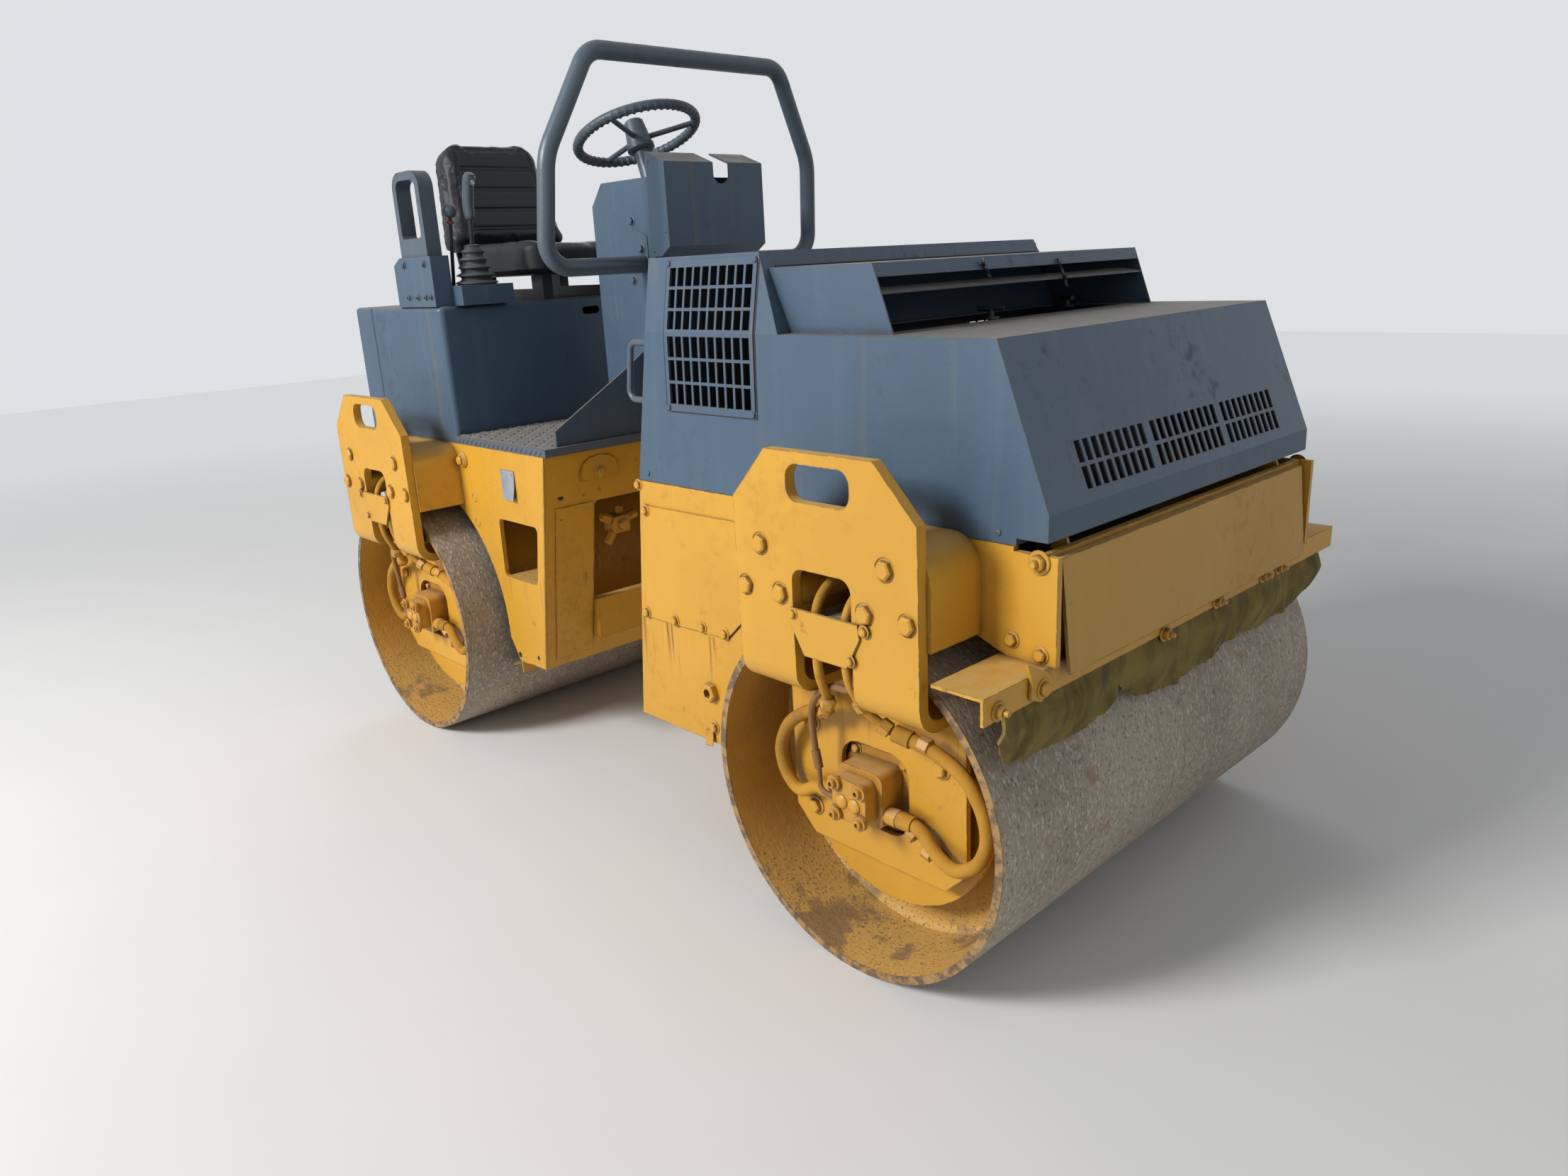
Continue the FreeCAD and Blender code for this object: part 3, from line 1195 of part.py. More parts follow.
def make_lever_console():
    body = new_body("lever_console")
    low, skin = s.tank_top, s.tank_sheet
    panel = [(-s.lever_plate_rear, low), (-s.lever_plate_rear, s.lever_plate_top - skin * 4),
             (-s.lever_plate_rear + s.lever_plate_slope, s.lever_plate_top),
             (-s.lever_plate_front, s.lever_plate_top), (-s.lever_plate_front, low)]
    pad(body, "XZ", -s.frame_half, -s.lever_plate_inner, [panel])
    pad(body, "XZ", -s.lever_plate_inner, -s.lever_box_inner,
        [rectangle(-s.lever_box_rear, -s.lever_box_front, low, s.lever_box_top)])
    keep(body)

    body = new_body("grab_loop")
    side = -(s.frame_half + s.lever_plate_inner) / 2
    loop = [(-s.loop_rear + s.lever_plate_slope, s.loop_foot), (-s.loop_front, s.loop_foot),
            (-s.loop_front, s.loop_top, s.loop_corner),
            (-s.loop_rear + s.lever_plate_slope, s.loop_top, s.loop_corner)]
    rear, front, bend = loop[0][0] + s.loop_bar, loop[1][0] - s.loop_bar, s.loop_corner / 2
    hole = [(rear, s.loop_foot + s.loop_base, bend / 2), (front, s.loop_foot + s.loop_base, bend / 2),
            (front, s.loop_top - s.loop_bar, bend), (rear, s.loop_top - s.loop_bar, bend)]
    pad(body, "XZ", side - s.loop_band / 2, side + s.loop_band / 2, [loop])
    pocket(body, "XZ", side - s.loop_band / 2, side + s.loop_band / 2, [hole])
    keep(body)


def make_levers():
    base = vector(-s.boot_place, -s.boot_side, s.lever_box_top)
    up = FreeCAD.Vector(0, 0, 1)
    steps = int(s.boot_ribs.value) * 2
    spots = [FreeCAD.Vector(0, 0, 0), FreeCAD.Vector(s.boot_radius.value, 0, 0)]
    for step in range(1, steps + 1):
        share = step / steps
        radius = s.boot_radius.value + (s.boot_neck.value - s.boot_radius.value) * share
        swell = s.lever_rod.value * 0.5 if step % 2 else 0
        spots.append(FreeCAD.Vector(radius + swell, 0, s.boot_height.value * share))
    spots.append(FreeCAD.Vector(0, 0, s.boot_height.value))
    outline = Part.makePolygon(spots + [spots[0]])
    boot = Part.Face(outline).revolve(FreeCAD.Vector(), up, 360)
    boot.translate(base)
    neck = base + up * (s.boot_height.value - 1)
    lean = FreeCAD.Rotation(FreeCAD.Vector(0, 1, 0), -s.lever_lean_angle.value).multVec(up)
    reach = s.lever_top.value - neck.z
    stem = Part.makeCylinder(s.lever_rod.value, reach, neck, lean)
    grip_foot = neck + lean * (reach - 2)
    grip = Part.makeCone(s.grip_radius.value * 0.75, s.grip_radius.value, s.grip_length.value,
                         grip_foot, lean)
    cap = Part.makeSphere(s.grip_radius.value, grip_foot + lean * s.grip_length.value)
    drive = boot.multiFuse([stem, grip, cap]).removeSplitter()
    foot = vector(-s.ball_place, -s.ball_side, s.lever_box_top)
    ball_at = vector(-s.ball_place, -s.ball_side, s.ball_level)
    socket = Part.makeCone(s.ball_radius.value, s.lever_rod.value, s.ball_radius.value, foot, up)
    rod_shape = Part.makeCylinder(s.lever_rod.value * 0.75, ball_at.z - foot.z, foot, up)
    ball = Part.makeSphere(s.ball_radius.value, ball_at)
    knob = socket.multiFuse([rod_shape, ball]).removeSplitter()
    keep(feature("control_levers", Part.Compound([drive, knob])))


make_tank()
make_lever_console()
make_levers()


# Seat: slides, pan and struts, then the plain solids of cushion and back
def make_seat():
    angle = s.back_angle
    body = new_body("seat_frame")
    pan_top = seat_foot - s.running_gap
    back_place, back_foot = s.seat_rear - s.back_set_in, seat_top + s.back_lift
    pan_low = pan_top - s.seat_pan
    rear, front = -s.seat_rear + s.strut_thick, -seat_front - s.seat_corner
    for hand in (-1, 1):
        spots = [(s.slide_side - s.slide_half) * hand, (s.slide_side + s.slide_half) * hand]
        low, high = min(spots, key=lambda d: d.value), max(spots, key=lambda d: d.value)
        pad(body, "XZ", low, high, [rectangle(rear, front - s.slide_half, s.tank_top,
                                              s.tank_top + s.slide_height)])
        for start in (rear, front - s.slide_half - s.seat_corner):
            pad(body, "XZ", low, high, [rectangle(start, start + s.seat_corner,
                                                  s.tank_top + s.slide_height, pan_low)])
    pad(body, "XY", pan_low, pan_top, [rectangle(rear, front, -s.seat_half * 0.8,
                                                 s.seat_half * 0.8)])
    face_low = -back_place - s.back_thick * cosine(angle) - s.running_gap
    level_low = back_foot - s.back_thick * sine(angle)
    lean = sine(angle) / cosine(angle)
    top = level_low + s.back_height * 0.5
    at_pan = face_low - lean * (pan_low - level_low)
    at_top = face_low - lean * (top - level_low)
    strut = [(at_pan, pan_low), (at_top, top), (at_top - s.strut_thick, top),
             (at_pan - s.strut_thick, pan_low)]
    for hand in (-1, 1):
        spots = [(s.slide_side - s.strut_half) * hand, (s.slide_side + s.strut_half) * hand]
        low, high = min(spots, key=lambda d: d.value), max(spots, key=lambda d: d.value)
        pad(body, "XZ", low, high, [strut])
        pad(body, "XZ", low, high, [rectangle(at_pan - s.strut_thick, rear + s.strut_thick,
                                              pan_low, pan_top)])
    keep(body)

    body = new_body("seat_cushion")
    pad(body, "XY", seat_foot, seat_top,
        [rectangle(-s.seat_rear, -seat_front, -s.seat_half, s.seat_half, s.seat_corner)])
    doc.recompute()
    top_level = seat_top.value
    soften(body, lambda a, b: abs(a.z - top_level) < 0.1 and abs(b.z - top_level) < 0.1, s.seat_edge)
    keep(body)

    body = new_body("seat_back")
    shape = [(-s.back_half_foot, ZERO, s.back_corner / 2),
             (s.back_half_foot, ZERO, s.back_corner / 2), (s.back_half_top, s.back_height, s.back_corner),
             (-s.back_half_top, s.back_height, s.back_corner)]
    pad(body, "YZ", -s.back_thick, ZERO, [shape])
    doc.recompute()
    soften(body, lambda a, b: abs(a.x) < 0.1 and abs(b.x) < 0.1, s.seat_edge)
    turned = FreeCAD.Rotation(FreeCAD.Vector(0, 1, 0), -angle.value)
    body.Placement = FreeCAD.Placement(FreeCAD.Vector(), turned)
    place(body, -back_place, ZERO, back_foot)
    keep(body)


make_seat()

doc.recompute()


# Checks, then one file for each node
faults = [o.Label for o in doc.Objects if "Invalid" in o.State or "Error" in o.State]
for label, made in nodes.items():
    if made.Shape.isNull() or not made.Shape.isValid() or not made.Shape.Solids:
        faults.append(label + " shape")
if faults:
    raise RuntimeError("These objects failed: " + ", ".join(faults))

os.makedirs("parts", exist_ok=True)
for label, made in nodes.items():
    made.Shape.exportStep("parts/" + label + ".step")
    print("%-22s solids %2d  litres %8.3f" % (label, len(made.Shape.Solids),
                                             made.Shape.Volume / 1e6))
print(len(nodes), "nodes")
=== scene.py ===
# %% [markdown]
# # A worn road roller, dressed in Blender
# A solid model gives the exact frame of this small tandem roller: plates, drums, hood, rails. It
# says nothing about what sun, stones and a quick coat of paint have done to it. This lesson keeps
# every solid where it is and adds the rest: finishes, bolts, tread, torn rubber and a padded seat.

import json
import math

import bmesh
import bpy
import numpy as np
from mathutils import Matrix


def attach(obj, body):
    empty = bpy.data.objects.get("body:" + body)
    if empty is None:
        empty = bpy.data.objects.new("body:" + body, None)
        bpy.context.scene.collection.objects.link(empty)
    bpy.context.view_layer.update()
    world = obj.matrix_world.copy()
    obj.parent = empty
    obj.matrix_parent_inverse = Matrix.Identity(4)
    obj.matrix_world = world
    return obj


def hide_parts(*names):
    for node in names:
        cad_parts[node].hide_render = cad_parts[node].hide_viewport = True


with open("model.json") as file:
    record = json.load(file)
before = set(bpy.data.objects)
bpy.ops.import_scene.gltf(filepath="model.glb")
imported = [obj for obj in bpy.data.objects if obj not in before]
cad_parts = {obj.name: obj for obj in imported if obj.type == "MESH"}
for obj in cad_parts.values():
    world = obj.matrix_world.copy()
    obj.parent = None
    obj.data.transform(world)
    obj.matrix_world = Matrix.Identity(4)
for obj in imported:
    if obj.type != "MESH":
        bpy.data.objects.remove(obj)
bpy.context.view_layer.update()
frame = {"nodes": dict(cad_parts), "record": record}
nodes = frame["nodes"]

# %% [markdown]
# ## Camera and light
# The camera stands where the photographer stood, beside the engine end and a little above the hood,
# tilted by three degrees. It could be aimed by hand, but its matrix is worked out from three angles
# found from the drum rims and straight edges. The light is a broad lamp on the machine's right with
# weak fills, so that the sides read bright and the nose darker, as they do outdoors.

# %% Camera from its place and three angles
EYE = np.array([2.156, -1.891, 1.314])
YAW, PITCH, ROLL = np.radians([47.22, 16.76, -3.01])
FOCAL_PIXELS, PHOTO_WIDTH, SENSOR = 1534.0, 2212.0, 36.0


def camera_axes(yaw, pitch, roll):
    """Rows are the camera's right, up and backward directions. Forward is (-sin yaw cos pitch,
    cos yaw cos pitch, -sin pitch); right and up are then turned about it by the roll."""
    forward = np.array([-np.sin(yaw) * np.cos(pitch), np.cos(yaw) * np.cos(pitch),
                        -np.sin(pitch)])
    level = np.array([np.cos(yaw), np.sin(yaw), 0.0])
    raised = np.cross(level, forward)
    right = np.cos(roll) * level + np.sin(roll) * raised
    up = -np.sin(roll) * level + np.cos(roll) * raised
    return np.array([right, up, -forward])


def new_object(name, data):
    """An object made from its data and put in the scene."""
    made = bpy.data.objects.new(name, data)
    bpy.context.scene.collection.objects.link(made)
    return made


camera = new_object("camera", bpy.data.cameras.new("camera"))
camera.data.sensor_width = SENSOR
camera.data.lens = FOCAL_PIXELS / PHOTO_WIDTH * SENSOR
camera.data.clip_start = 0.05
placed = np.eye(4)
placed[:3, :3] = camera_axes(YAW, PITCH, ROLL).T
placed[:3, 3] = EYE
camera.matrix_world = Matrix(placed.tolist())
bpy.context.scene.camera = camera
print("lens %.2f mm" % camera.data.lens)

# %% Lamps and sky
LAMPS = [
    # name, where it stands, what it looks at, side in metres, watts
    ("sun_side", (-1.2, -6.4, 4.4), (0.0, 0.0, 0.6), 2.0, 560.0),
    ("front_fill", (6.5, 1.0, 3.6), (0.6, 0.0, 0.6), 5.0, 22.0),
    ("rear_fill", (-6.0, 4.5, 4.0), (-0.4, 0.0, 0.8), 4.0, 95.0),
]
for name, stand, target, side, watts in LAMPS:
    lamp = new_object(name, bpy.data.lights.new(name, "AREA"))
    lamp.data.size, lamp.data.energy = side, watts
    aim = np.array(target) - np.array(stand)
    lamp.location = stand
    lamp.rotation_euler = (math.atan2(math.hypot(aim[0], aim[1]), -aim[2]),
                           0.0, math.atan2(-aim[0], aim[1]))

world = bpy.data.worlds.new("pale_sky")
bpy.context.scene.world = world
world.use_nodes = True
tree = world.node_tree
sky = tree.nodes["Background"]
backdrop, rays, seen, either = [tree.nodes.new("ShaderNode" + kind) for kind in
                                ("Background", "LightPath", "Math", "MixShader")]
for shade, colour, strength in ((sky, (0.86, 0.9, 0.96, 1), 0.36),
                                (backdrop, (0.8, 0.82, 0.84, 1), 0.92)):
    shade.inputs["Color"].default_value = colour
    shade.inputs["Strength"].default_value = strength
seen.operation = "MAXIMUM"
for start, end in ((rays.outputs["Is Camera Ray"], seen.inputs[0]),
                   (rays.outputs["Is Glossy Ray"], seen.inputs[1]),
                   (seen.outputs[0], either.inputs[0]), (sky.outputs[0], either.inputs[1]),
                   (backdrop.outputs[0], either.inputs[2]),
                   (either.outputs[0], tree.nodes["World Output"].inputs["Surface"])):
    tree.links.new(start, end)
bpy.context.scene.view_settings.view_transform = "Standard"
print(len(LAMPS), "lamps")

# %% [markdown]
# ## Surfaces from arrays
# Every new piece is a surface worked out on a grid of points: a profile turned round an axis, or
# carried along a path. Modelling by hand would do too, but arrays keep every place a number. One
# helper numbers a grid's faces, one puts the same small shape in many places, and one turns arrays
# into an object that rides on its body.


# %% Grids, copies and pieces
def grid_faces(rows, columns, closed=False):
    """Corner numbers of a grid's faces: point (i, j) is number i * columns + j, and each face joins
    rows i and i + 1 with columns j and j + 1, where a closed grid's last column meets its first."""
    i, j = np.meshgrid(np.arange(rows - 1), np.arange(columns - (not closed)), indexing="ij")
    after = (j + 1) % columns
    corners = [i * columns + j, i * columns + after,
               (i + 1) * columns + after, (i + 1) * columns + j]
    return np.stack(corners, -1).reshape(-1, 4)


def lathe(profile, count):
    """A profile of (radius, height) pairs turned about Z: point = (r cos a, r sin a, h), with the
    angle a in count equal steps. Six steps give a hexagon."""
    radius, height = np.array(profile, float).T
    angle = np.arange(count) * 2 * np.pi / count
    points = np.stack([radius[:, None] * np.cos(angle), radius[:, None] * np.sin(angle),
                       np.repeat(height[:, None], count, 1)], -1)
    return points.reshape(-1, 3), grid_faces(len(radius), count, True)


def smooth(points, count):
    """A curve through all the points: between b and c, with a before and d after, it is half of
    2b + (c - a)t + (2a - 5b + 4c - d)t^2 + (3b - a - 3c + d)t^3."""
    points = np.array(points, float)
    ends = np.concatenate([[2 * points[0] - points[1]], points, [2 * points[-1] - points[-2]]])
    t = np.linspace(0, len(points) - 1, count)
    k = np.minimum(t.astype(int), len(points) - 2)
    t = (t - k)[:, None]
    a, b, c, d = ends[k], ends[k + 1], ends[k + 2], ends[k + 3]
    return 0.5 * (2 * b + (c - a) * t + (2 * a - 5 * b + 4 * c - d) * t**2
                  + (3 * b - a - 3 * c + d) * t**3)


def tube(path, radius, sides=14, flat=1.0, guide=(0, 1, 0)):
    """A closed tube along a path: point = path + r (cos a, flat sin a) in the plane across the
    path, whose first direction is the path's direction crossed with a fixed guide."""
    path = np.array(path, float)
    along = np.gradient(path, axis=0)
    first = np.cross(along, guide)
    first /= np.linalg.norm(first, axis=1, keepdims=True)
    second = np.cross(along, first)
    second /= np.linalg.norm(second, axis=1, keepdims=True)
    angle = np.arange(sides) * 2 * np.pi / sides
    reach = np.broadcast_to(np.asarray(radius, float), len(path))[:, None, None]
    rings = path[:, None] + reach * (np.cos(angle)[None, :, None] * first[:, None]
                                     + flat * np.sin(angle)[None, :, None] * second[:, None])
    ends = [np.repeat(path[i:i + 1, None], sides, 1) for i in (0, len(path) - 1)]
    rings = np.concatenate([ends[0], rings, ends[1]])
    return rings.reshape(-1, 3), grid_faces(len(rings), sides, True)


def sheet(surface, thickness):
    """A closed sheet from a grid of points: each moves half the thickness along and against the
    normal, which is the cross product of the grid's two slopes; both ends are then closed."""
    normal = np.cross(np.gradient(surface, axis=0), np.gradient(surface, axis=1))
    normal /= np.linalg.norm(normal, axis=2, keepdims=True)
    half = normal * thickness / 2
    loop = np.concatenate([surface + half, (surface - half)[:, ::-1]], axis=1)
    rows, columns = loop.shape[:2]
    j = np.arange(columns // 2 - 1)
    cap = np.stack([j, j + 1, columns - 2 - j, columns - 1 - j], -1)
    faces = np.concatenate([grid_faces(rows, columns, True), cap, cap + (rows - 1) * columns])
    return loop.reshape(-1, 3), faces


def rounded(corners, radius, steps=4):
    """Each corner becomes (1 - t)^2 a + 2t(1 - t) c + t^2 b, where c is the corner and a and b lie
    one radius from it on its two sides."""
    corners = np.array(corners, float)
    reach = np.broadcast_to(np.asarray(radius, float), len(corners))[:, None]
    sides = [np.roll(corners, turn, 0) - corners for turn in (1, -1)]
    a, b = [corners + reach * side / np.linalg.norm(side, axis=1, keepdims=True)
            for side in sides]
    t = np.linspace(0, 1, steps)[None, :, None]
    curve = (1 - t)**2 * a[:, None] + 2 * t * (1 - t) * corners[:, None] + t**2 * b[:, None]
    return curve.reshape(-1, 2)


def cut_plate(outline, low, high, axis):
    """A flat plate: its outline at a low and a high place along one axis, joined by a band of
    four-cornered faces, with one many-cornered face at each end."""
    rings = np.concatenate([np.insert(np.array(outline, float), axis, place, axis=1)
                            for place in (low, high)])
    count = len(outline)
    return [(rings, grid_faces(2, count, True)), (rings, np.arange(2 * count).reshape(2, count))]


def turned_to(axes, roll=0.0):
    """One 3x3 matrix for each axis, whose third column is that axis: the other two are a level
    direction at right angles to it, turned by roll, and their cross product."""
    axes = np.atleast_2d(np.array(axes, float))
    axes = axes / np.linalg.norm(axes, axis=1, keepdims=True)
    guide = np.where(np.abs(axes[:, 2:3]) > 0.9, [[1.0, 0, 0]], [[0, 0, 1.0]])
    first = np.cross(guide, axes)
    first /= np.linalg.norm(first, axis=1, keepdims=True)
    second = np.cross(axes, first)
    roll = np.broadcast_to(np.asarray(roll, float), len(axes))[:, None]
    across = np.cos(roll) * first + np.sin(roll) * second
    return np.stack([across, np.cross(axes, across), axes], -1)


def spread(shape, places, turns=None):
    """Copies of one shape: copy n is its points, turned by matrix n if any, moved to place n."""
    points, faces = shape
    turns = np.eye(3)[None] if turns is None else turns
    every = np.einsum("nij,pj->npi", turns, points) + np.array(places, float)[:, None, :]
    steps = np.arange(len(places))[:, None, None] * len(points)
    return every.reshape(-1, 3), (faces[None] + steps).reshape(-1, faces.shape[1])


finishes = {}


def piece(name, shapes, body, finish, crease=35.0, bevel=0.0):
    """One object from several (points, faces) shapes, with equal points merged, faces turned
    outwards, edges sharper than the crease angle kept hard, and a small bevel if asked. It takes
    its finish as its material."""
    points = np.concatenate([s[0] for s in shapes])
    faces, start = [], 0
    for part in shapes:
        faces += (part[1] + start).tolist()
        start += len(part[0])
    mesh = bpy.data.meshes.new(name)
    mesh.from_pydata(points.tolist(), [], faces)
    work = bmesh.new()
    work.from_mesh(mesh)
    bmesh.ops.remove_doubles(work, verts=work.verts, dist=1e-6)
    bmesh.ops.dissolve_degenerate(work, edges=work.edges, dist=1e-7)
    bmesh.ops.recalc_face_normals(work, faces=work.faces)
    work.to_mesh(mesh)
    work.free()
    mesh.shade_smooth()
    mesh.set_sharp_from_angle(angle=math.radians(crease))
    mesh.materials.append(finishes[finish])
    made = new_object(name, mesh)
    if bevel:
        edge = made.modifiers.new("edge", "BEVEL")
        edge.width, edge.segments, edge.limit_method = bevel, 2, "ANGLE"
    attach(made, body)
    print("%-24s %6d faces on %s" % (name, len(mesh.polygons), body))
    return made


# %% [markdown]
# ## A kit for finishes
# A finish could be painted on by hand; here it is a small tree of nodes that reads the object's own
# coordinates, so nothing slides when the machine moves.


# %% The finish kit
def darker(colour, share):
    """A colour with each part times a share."""
    return tuple(c * share for c in colour)


class Finish:
    """A material under construction; each method adds a node and gives back its output."""

    def __init__(self, name, metallic=0.0, specular=0.5):
        self.material = finishes[name] = bpy.data.materials.new(name)
        self.material.use_nodes = True
        self.tree = self.material.node_tree
        self.shader = self.tree.nodes["Principled BSDF"]
        self.shader.inputs["Metallic"].default_value = metallic
        self.shader.inputs["Specular IOR Level"].default_value = specular
        self.place = self.add("TexCoord").outputs["Object"]
        self.facing = self.add("TexCoord").outputs["Normal"]

    def feed(self, socket, value):
        """Links another node's output to the socket, or sets a plain value on it."""
        if isinstance(value, bpy.types.NodeSocket):
            self.tree.links.new(value, socket)
        else:
            socket.default_value = value

    def add(self, kind, inputs=(), **settings):
        """A node of one kind with its settings and what feeds it."""
        node = self.tree.nodes.new("ShaderNode" + kind)
        for key, value in settings.items():
            setattr(node, key, value)
        for key, value in dict(inputs).items():
            self.feed(node.inputs[key], value)
        return node

    def cloud(self, scale, detail=5.0, stretch=(1, 1, 1)):
        """Fractal noise round 0.5; a stretch above 1 packs it closer along that axis."""
        spot = self.add("Mapping", {"Vector": self.place, "Scale": stretch}).outputs[0]
        return self.add("TexNoise", {"Vector": spot, "Scale": scale, "Detail": detail,
                                     "Roughness": 0.62}).outputs[0]

    def climb(self, value, low, high, start=0.0, end=1.0):
        """A smooth step from start to end while the value goes from low to high."""
        return self.add("MapRange", {"Value": value, "From Min": low, "From Max": high,
                                     "To Min": start, "To Max": end},
                        interpolation_type="SMOOTHSTEP").outputs[0]

    def patches(self, low, high, *cloud):
        """A cloud that has climbed from 0 to 1: soft patches."""
        return self.climb(self.cloud(*cloud), low, high)

    def math(self, kind, first, second=0.0):
        """Two values added, subtracted or otherwise combined."""
        return self.add("Math", {0: first, 1: second}, operation=kind).outputs[0]

    def times(self, first, second):
        """The product of two values."""
        return self.math("MULTIPLY", first, second)

    def blend(self, share, first, second):
        """The first colour where the share is 0, the second where it is 1."""
        colours = [c if isinstance(c, bpy.types.NodeSocket) else (*c, 1.0)
                   for c in (first, second)]
        return self.add("Mix", {0: share, 6: colours[0], 7: colours[1]},
                        data_type="RGBA").outputs[2]

    def part(self, vector, axis):
        """One coordinate of a vector."""
        return self.add("SeparateXYZ", {0: vector}).outputs[axis]

    def edges(self, reach):
        """Near 1 within reach of a sharp edge: 1 minus the dot product of the rounded normal and
        the true one."""
        soft = self.add("Bevel", {"Radius": reach}, samples=4).outputs[0]
        true = self.add("NewGeometry").outputs["Normal"]
        dot = self.add("VectorMath", {0: soft, 1: true}, operation="DOT_PRODUCT")
        return self.climb(dot.outputs["Value"], 0.98, 0.8)

    def painted_shade_corners(self, reach):
        """Near 1 in corners and round bolt heads, where sky within reach is covered: a painted
        shade mask.
        """
        cover = self.add("AmbientOcclusion", {"Distance": reach}, samples=4).outputs["AO"]
        return self.climb(cover, 0.8, 0.4)

    def finish(self, colour, roughness, bumps):
        """Connects colour and roughness, and stacks (height, depth in metres) bumps."""
        self.feed(self.shader.inputs["Base Color"], colour)
        self.feed(self.shader.inputs["Roughness"], roughness)
        below = {}
        for height, depth in bumps:
            bump = self.add("Bump", {"Height": height, "Distance": depth, **below})
            below = {"Normal": bump.outputs[0]}
        for key, value in below.items():
            self.feed(self.shader.inputs[key], value)
        print("finish", self.material.name, len(self.tree.nodes), "nodes")
        return self.material


# %% [markdown]
# ## Paint over old paint
# The yellow was sprayed over everything below the deck, hoses included, and the slate blue over the
# sheet metal. Both are satin coats with brush-sized unevenness, chips that show dark steel, rust
# that runs down from seams, and dust wherever a face looks up. One function with a table of coats
# keeps the wear alike on all of them.


# %% Painted steel
RUST, BARE_STEEL, STAIN = (0.2, 0.075, 0.022), (0.085, 0.055, 0.035), (0.15, 0.135, 0.095)
RUN_LENGTH = 0.16


def painted_steel(name, coat, deep, dust, rust_share, streaks, gloss, runs_below, stain_share):
    """Coat colour varied by two clouds, vertical streaks, dust by how far the face looks up, rust
    runs below one height, and bare steel where the edge mask meets a cloud."""
    f = Finish(name)
    colour = f.blend(f.times(f.patches(0.35, 0.7, 1.7), 0.55), coat, deep)
    pale = tuple(min(1.0, c * 1.22 + 0.02) for c in coat)
    streak = f.patches(0.5, 0.78, 9.0, 6.0, (1.6, 1.6, 0.09))
    colour = f.blend(f.times(streak, streaks), colour, pale)
    fine = f.cloud(38.0, 7.0)
    grime = f.climb(f.times(f.cloud(4.2, 8.0, (1, 1, 0.5)), fine), 0.27, 0.44)
    colour = f.blend(f.times(grime, 0.24), colour, darker(deep, 0.55))
    colour = f.blend(f.times(f.patches(0.66, 0.71, 23.0, 9.0), rust_share), colour, RUST)
    level = f.climb(f.part(f.facing, 2), 0.55, 0.95)
    film = f.times(level, f.climb(fine, 0.3, 0.62, 0.45, 1.0))
    colour = f.blend(f.times(film, 0.85), colour, dust)
    if stain_share:
        stain = f.patches(0.56, 0.76, 13.0, 5.0, (1.8, 1.8, 0.06))
        colour = f.blend(f.times(stain, stain_share), colour, STAIN)
    # painted shade and grime: darker in corners and round bolt heads, where the sky is hidden
    corner_shade_and_grime = f.times(f.painted_shade_corners(0.035), f.climb(f.cloud(19.0, 6.0), 0.25, 0.6, 0.35, 0.85))
    colour = f.blend(corner_shade_and_grime, colour, darker(deep, 0.3))
    if runs_below:
        height = f.part(f.place, 2)
        fall = f.times(f.climb(height, runs_below, runs_below - 0.004),
                       f.climb(height, runs_below - RUN_LENGTH, runs_below))
        thread = f.patches(0.56, 0.7, 75.0, 3.0, (1, 1, 0.035))
        colour = f.blend(f.times(fall, thread), colour, (0.26, 0.1, 0.018))
    worn = f.times(f.edges(0.004), f.patches(0.41, 0.51, 31.0, 6.0))
    colour = f.blend(worn, colour, BARE_STEEL)
    rough = f.math("ADD", f.climb(f.math("ADD", film, grime), 0.0, 1.4, gloss, 0.85),
                   f.times(worn, 0.2))
    f.finish(colour, rough, [(f.cloud(420.0, 3.0), 0.00012), (f.cloud(28.0, 4.0), 0.0008),
                             (f.math("SUBTRACT", 1.0, worn), 0.0004)])


PAINTS = [
    # name, coat, its deep tone, dust, shares of rust and streaks, roughness, runs below, stains
    ("frame_yellow", (0.6, 0.308, 0.027), (0.47, 0.232, 0.02), (0.55, 0.34, 0.11),
     0.5, 0.12, 0.42, 0.5365, 0),
    # the fascia's coat is the frame yellow made duller and darker: dust, and painted shade of its
    # front face
    ("fascia_ochre", (0.5, 0.28, 0.048), (0.4, 0.22, 0.038), (0.42, 0.28, 0.12),
     0.4, 0.25, 0.5, 0, 0),
    ("casting_yellow", (0.56, 0.275, 0.03), (0.4, 0.19, 0.026), (0.5, 0.3, 0.12),
     0.6, 0.1, 0.5, 0, 0),
    ("panel_slate", (0.057, 0.098, 0.146), (0.04, 0.073, 0.112), (0.2, 0.168, 0.128),
     0.12, 0.35, 0.42, 0, 0.4),
    ("rail_slate", (0.07, 0.098, 0.128), (0.045, 0.062, 0.082), (0.12, 0.12, 0.12),
     0.25, 0.2, 0.38, 0, 0),
    ("deck_slate", (0.085, 0.105, 0.13), (0.06, 0.07, 0.085), (0.27, 0.235, 0.19),
     0.35, 0.1, 0.6, 0, 0),
]
for row in PAINTS:
    painted_steel(*row)

# %% [markdown]
# ## Drum steel
# A drum is bare only where it rolls. Its outside is ground steel, brown and grey with old rust,
# scratched round and round. Inside, the spray paint thins towards the lowest part, where stones and
# wet dirt have scoured it. Two finishes would need the solid split in two, so one does both: the
# distance from the axle says which side of the shell a point is on.


# %% Raw tread outside, failing paint inside
AXLE, AXLE_HEIGHT, DRUM_RADIUS = 0.895, 0.35, 0.35
MID_SHELL, RIM_START, RIM_END = 0.343, 0.596, 0.5995


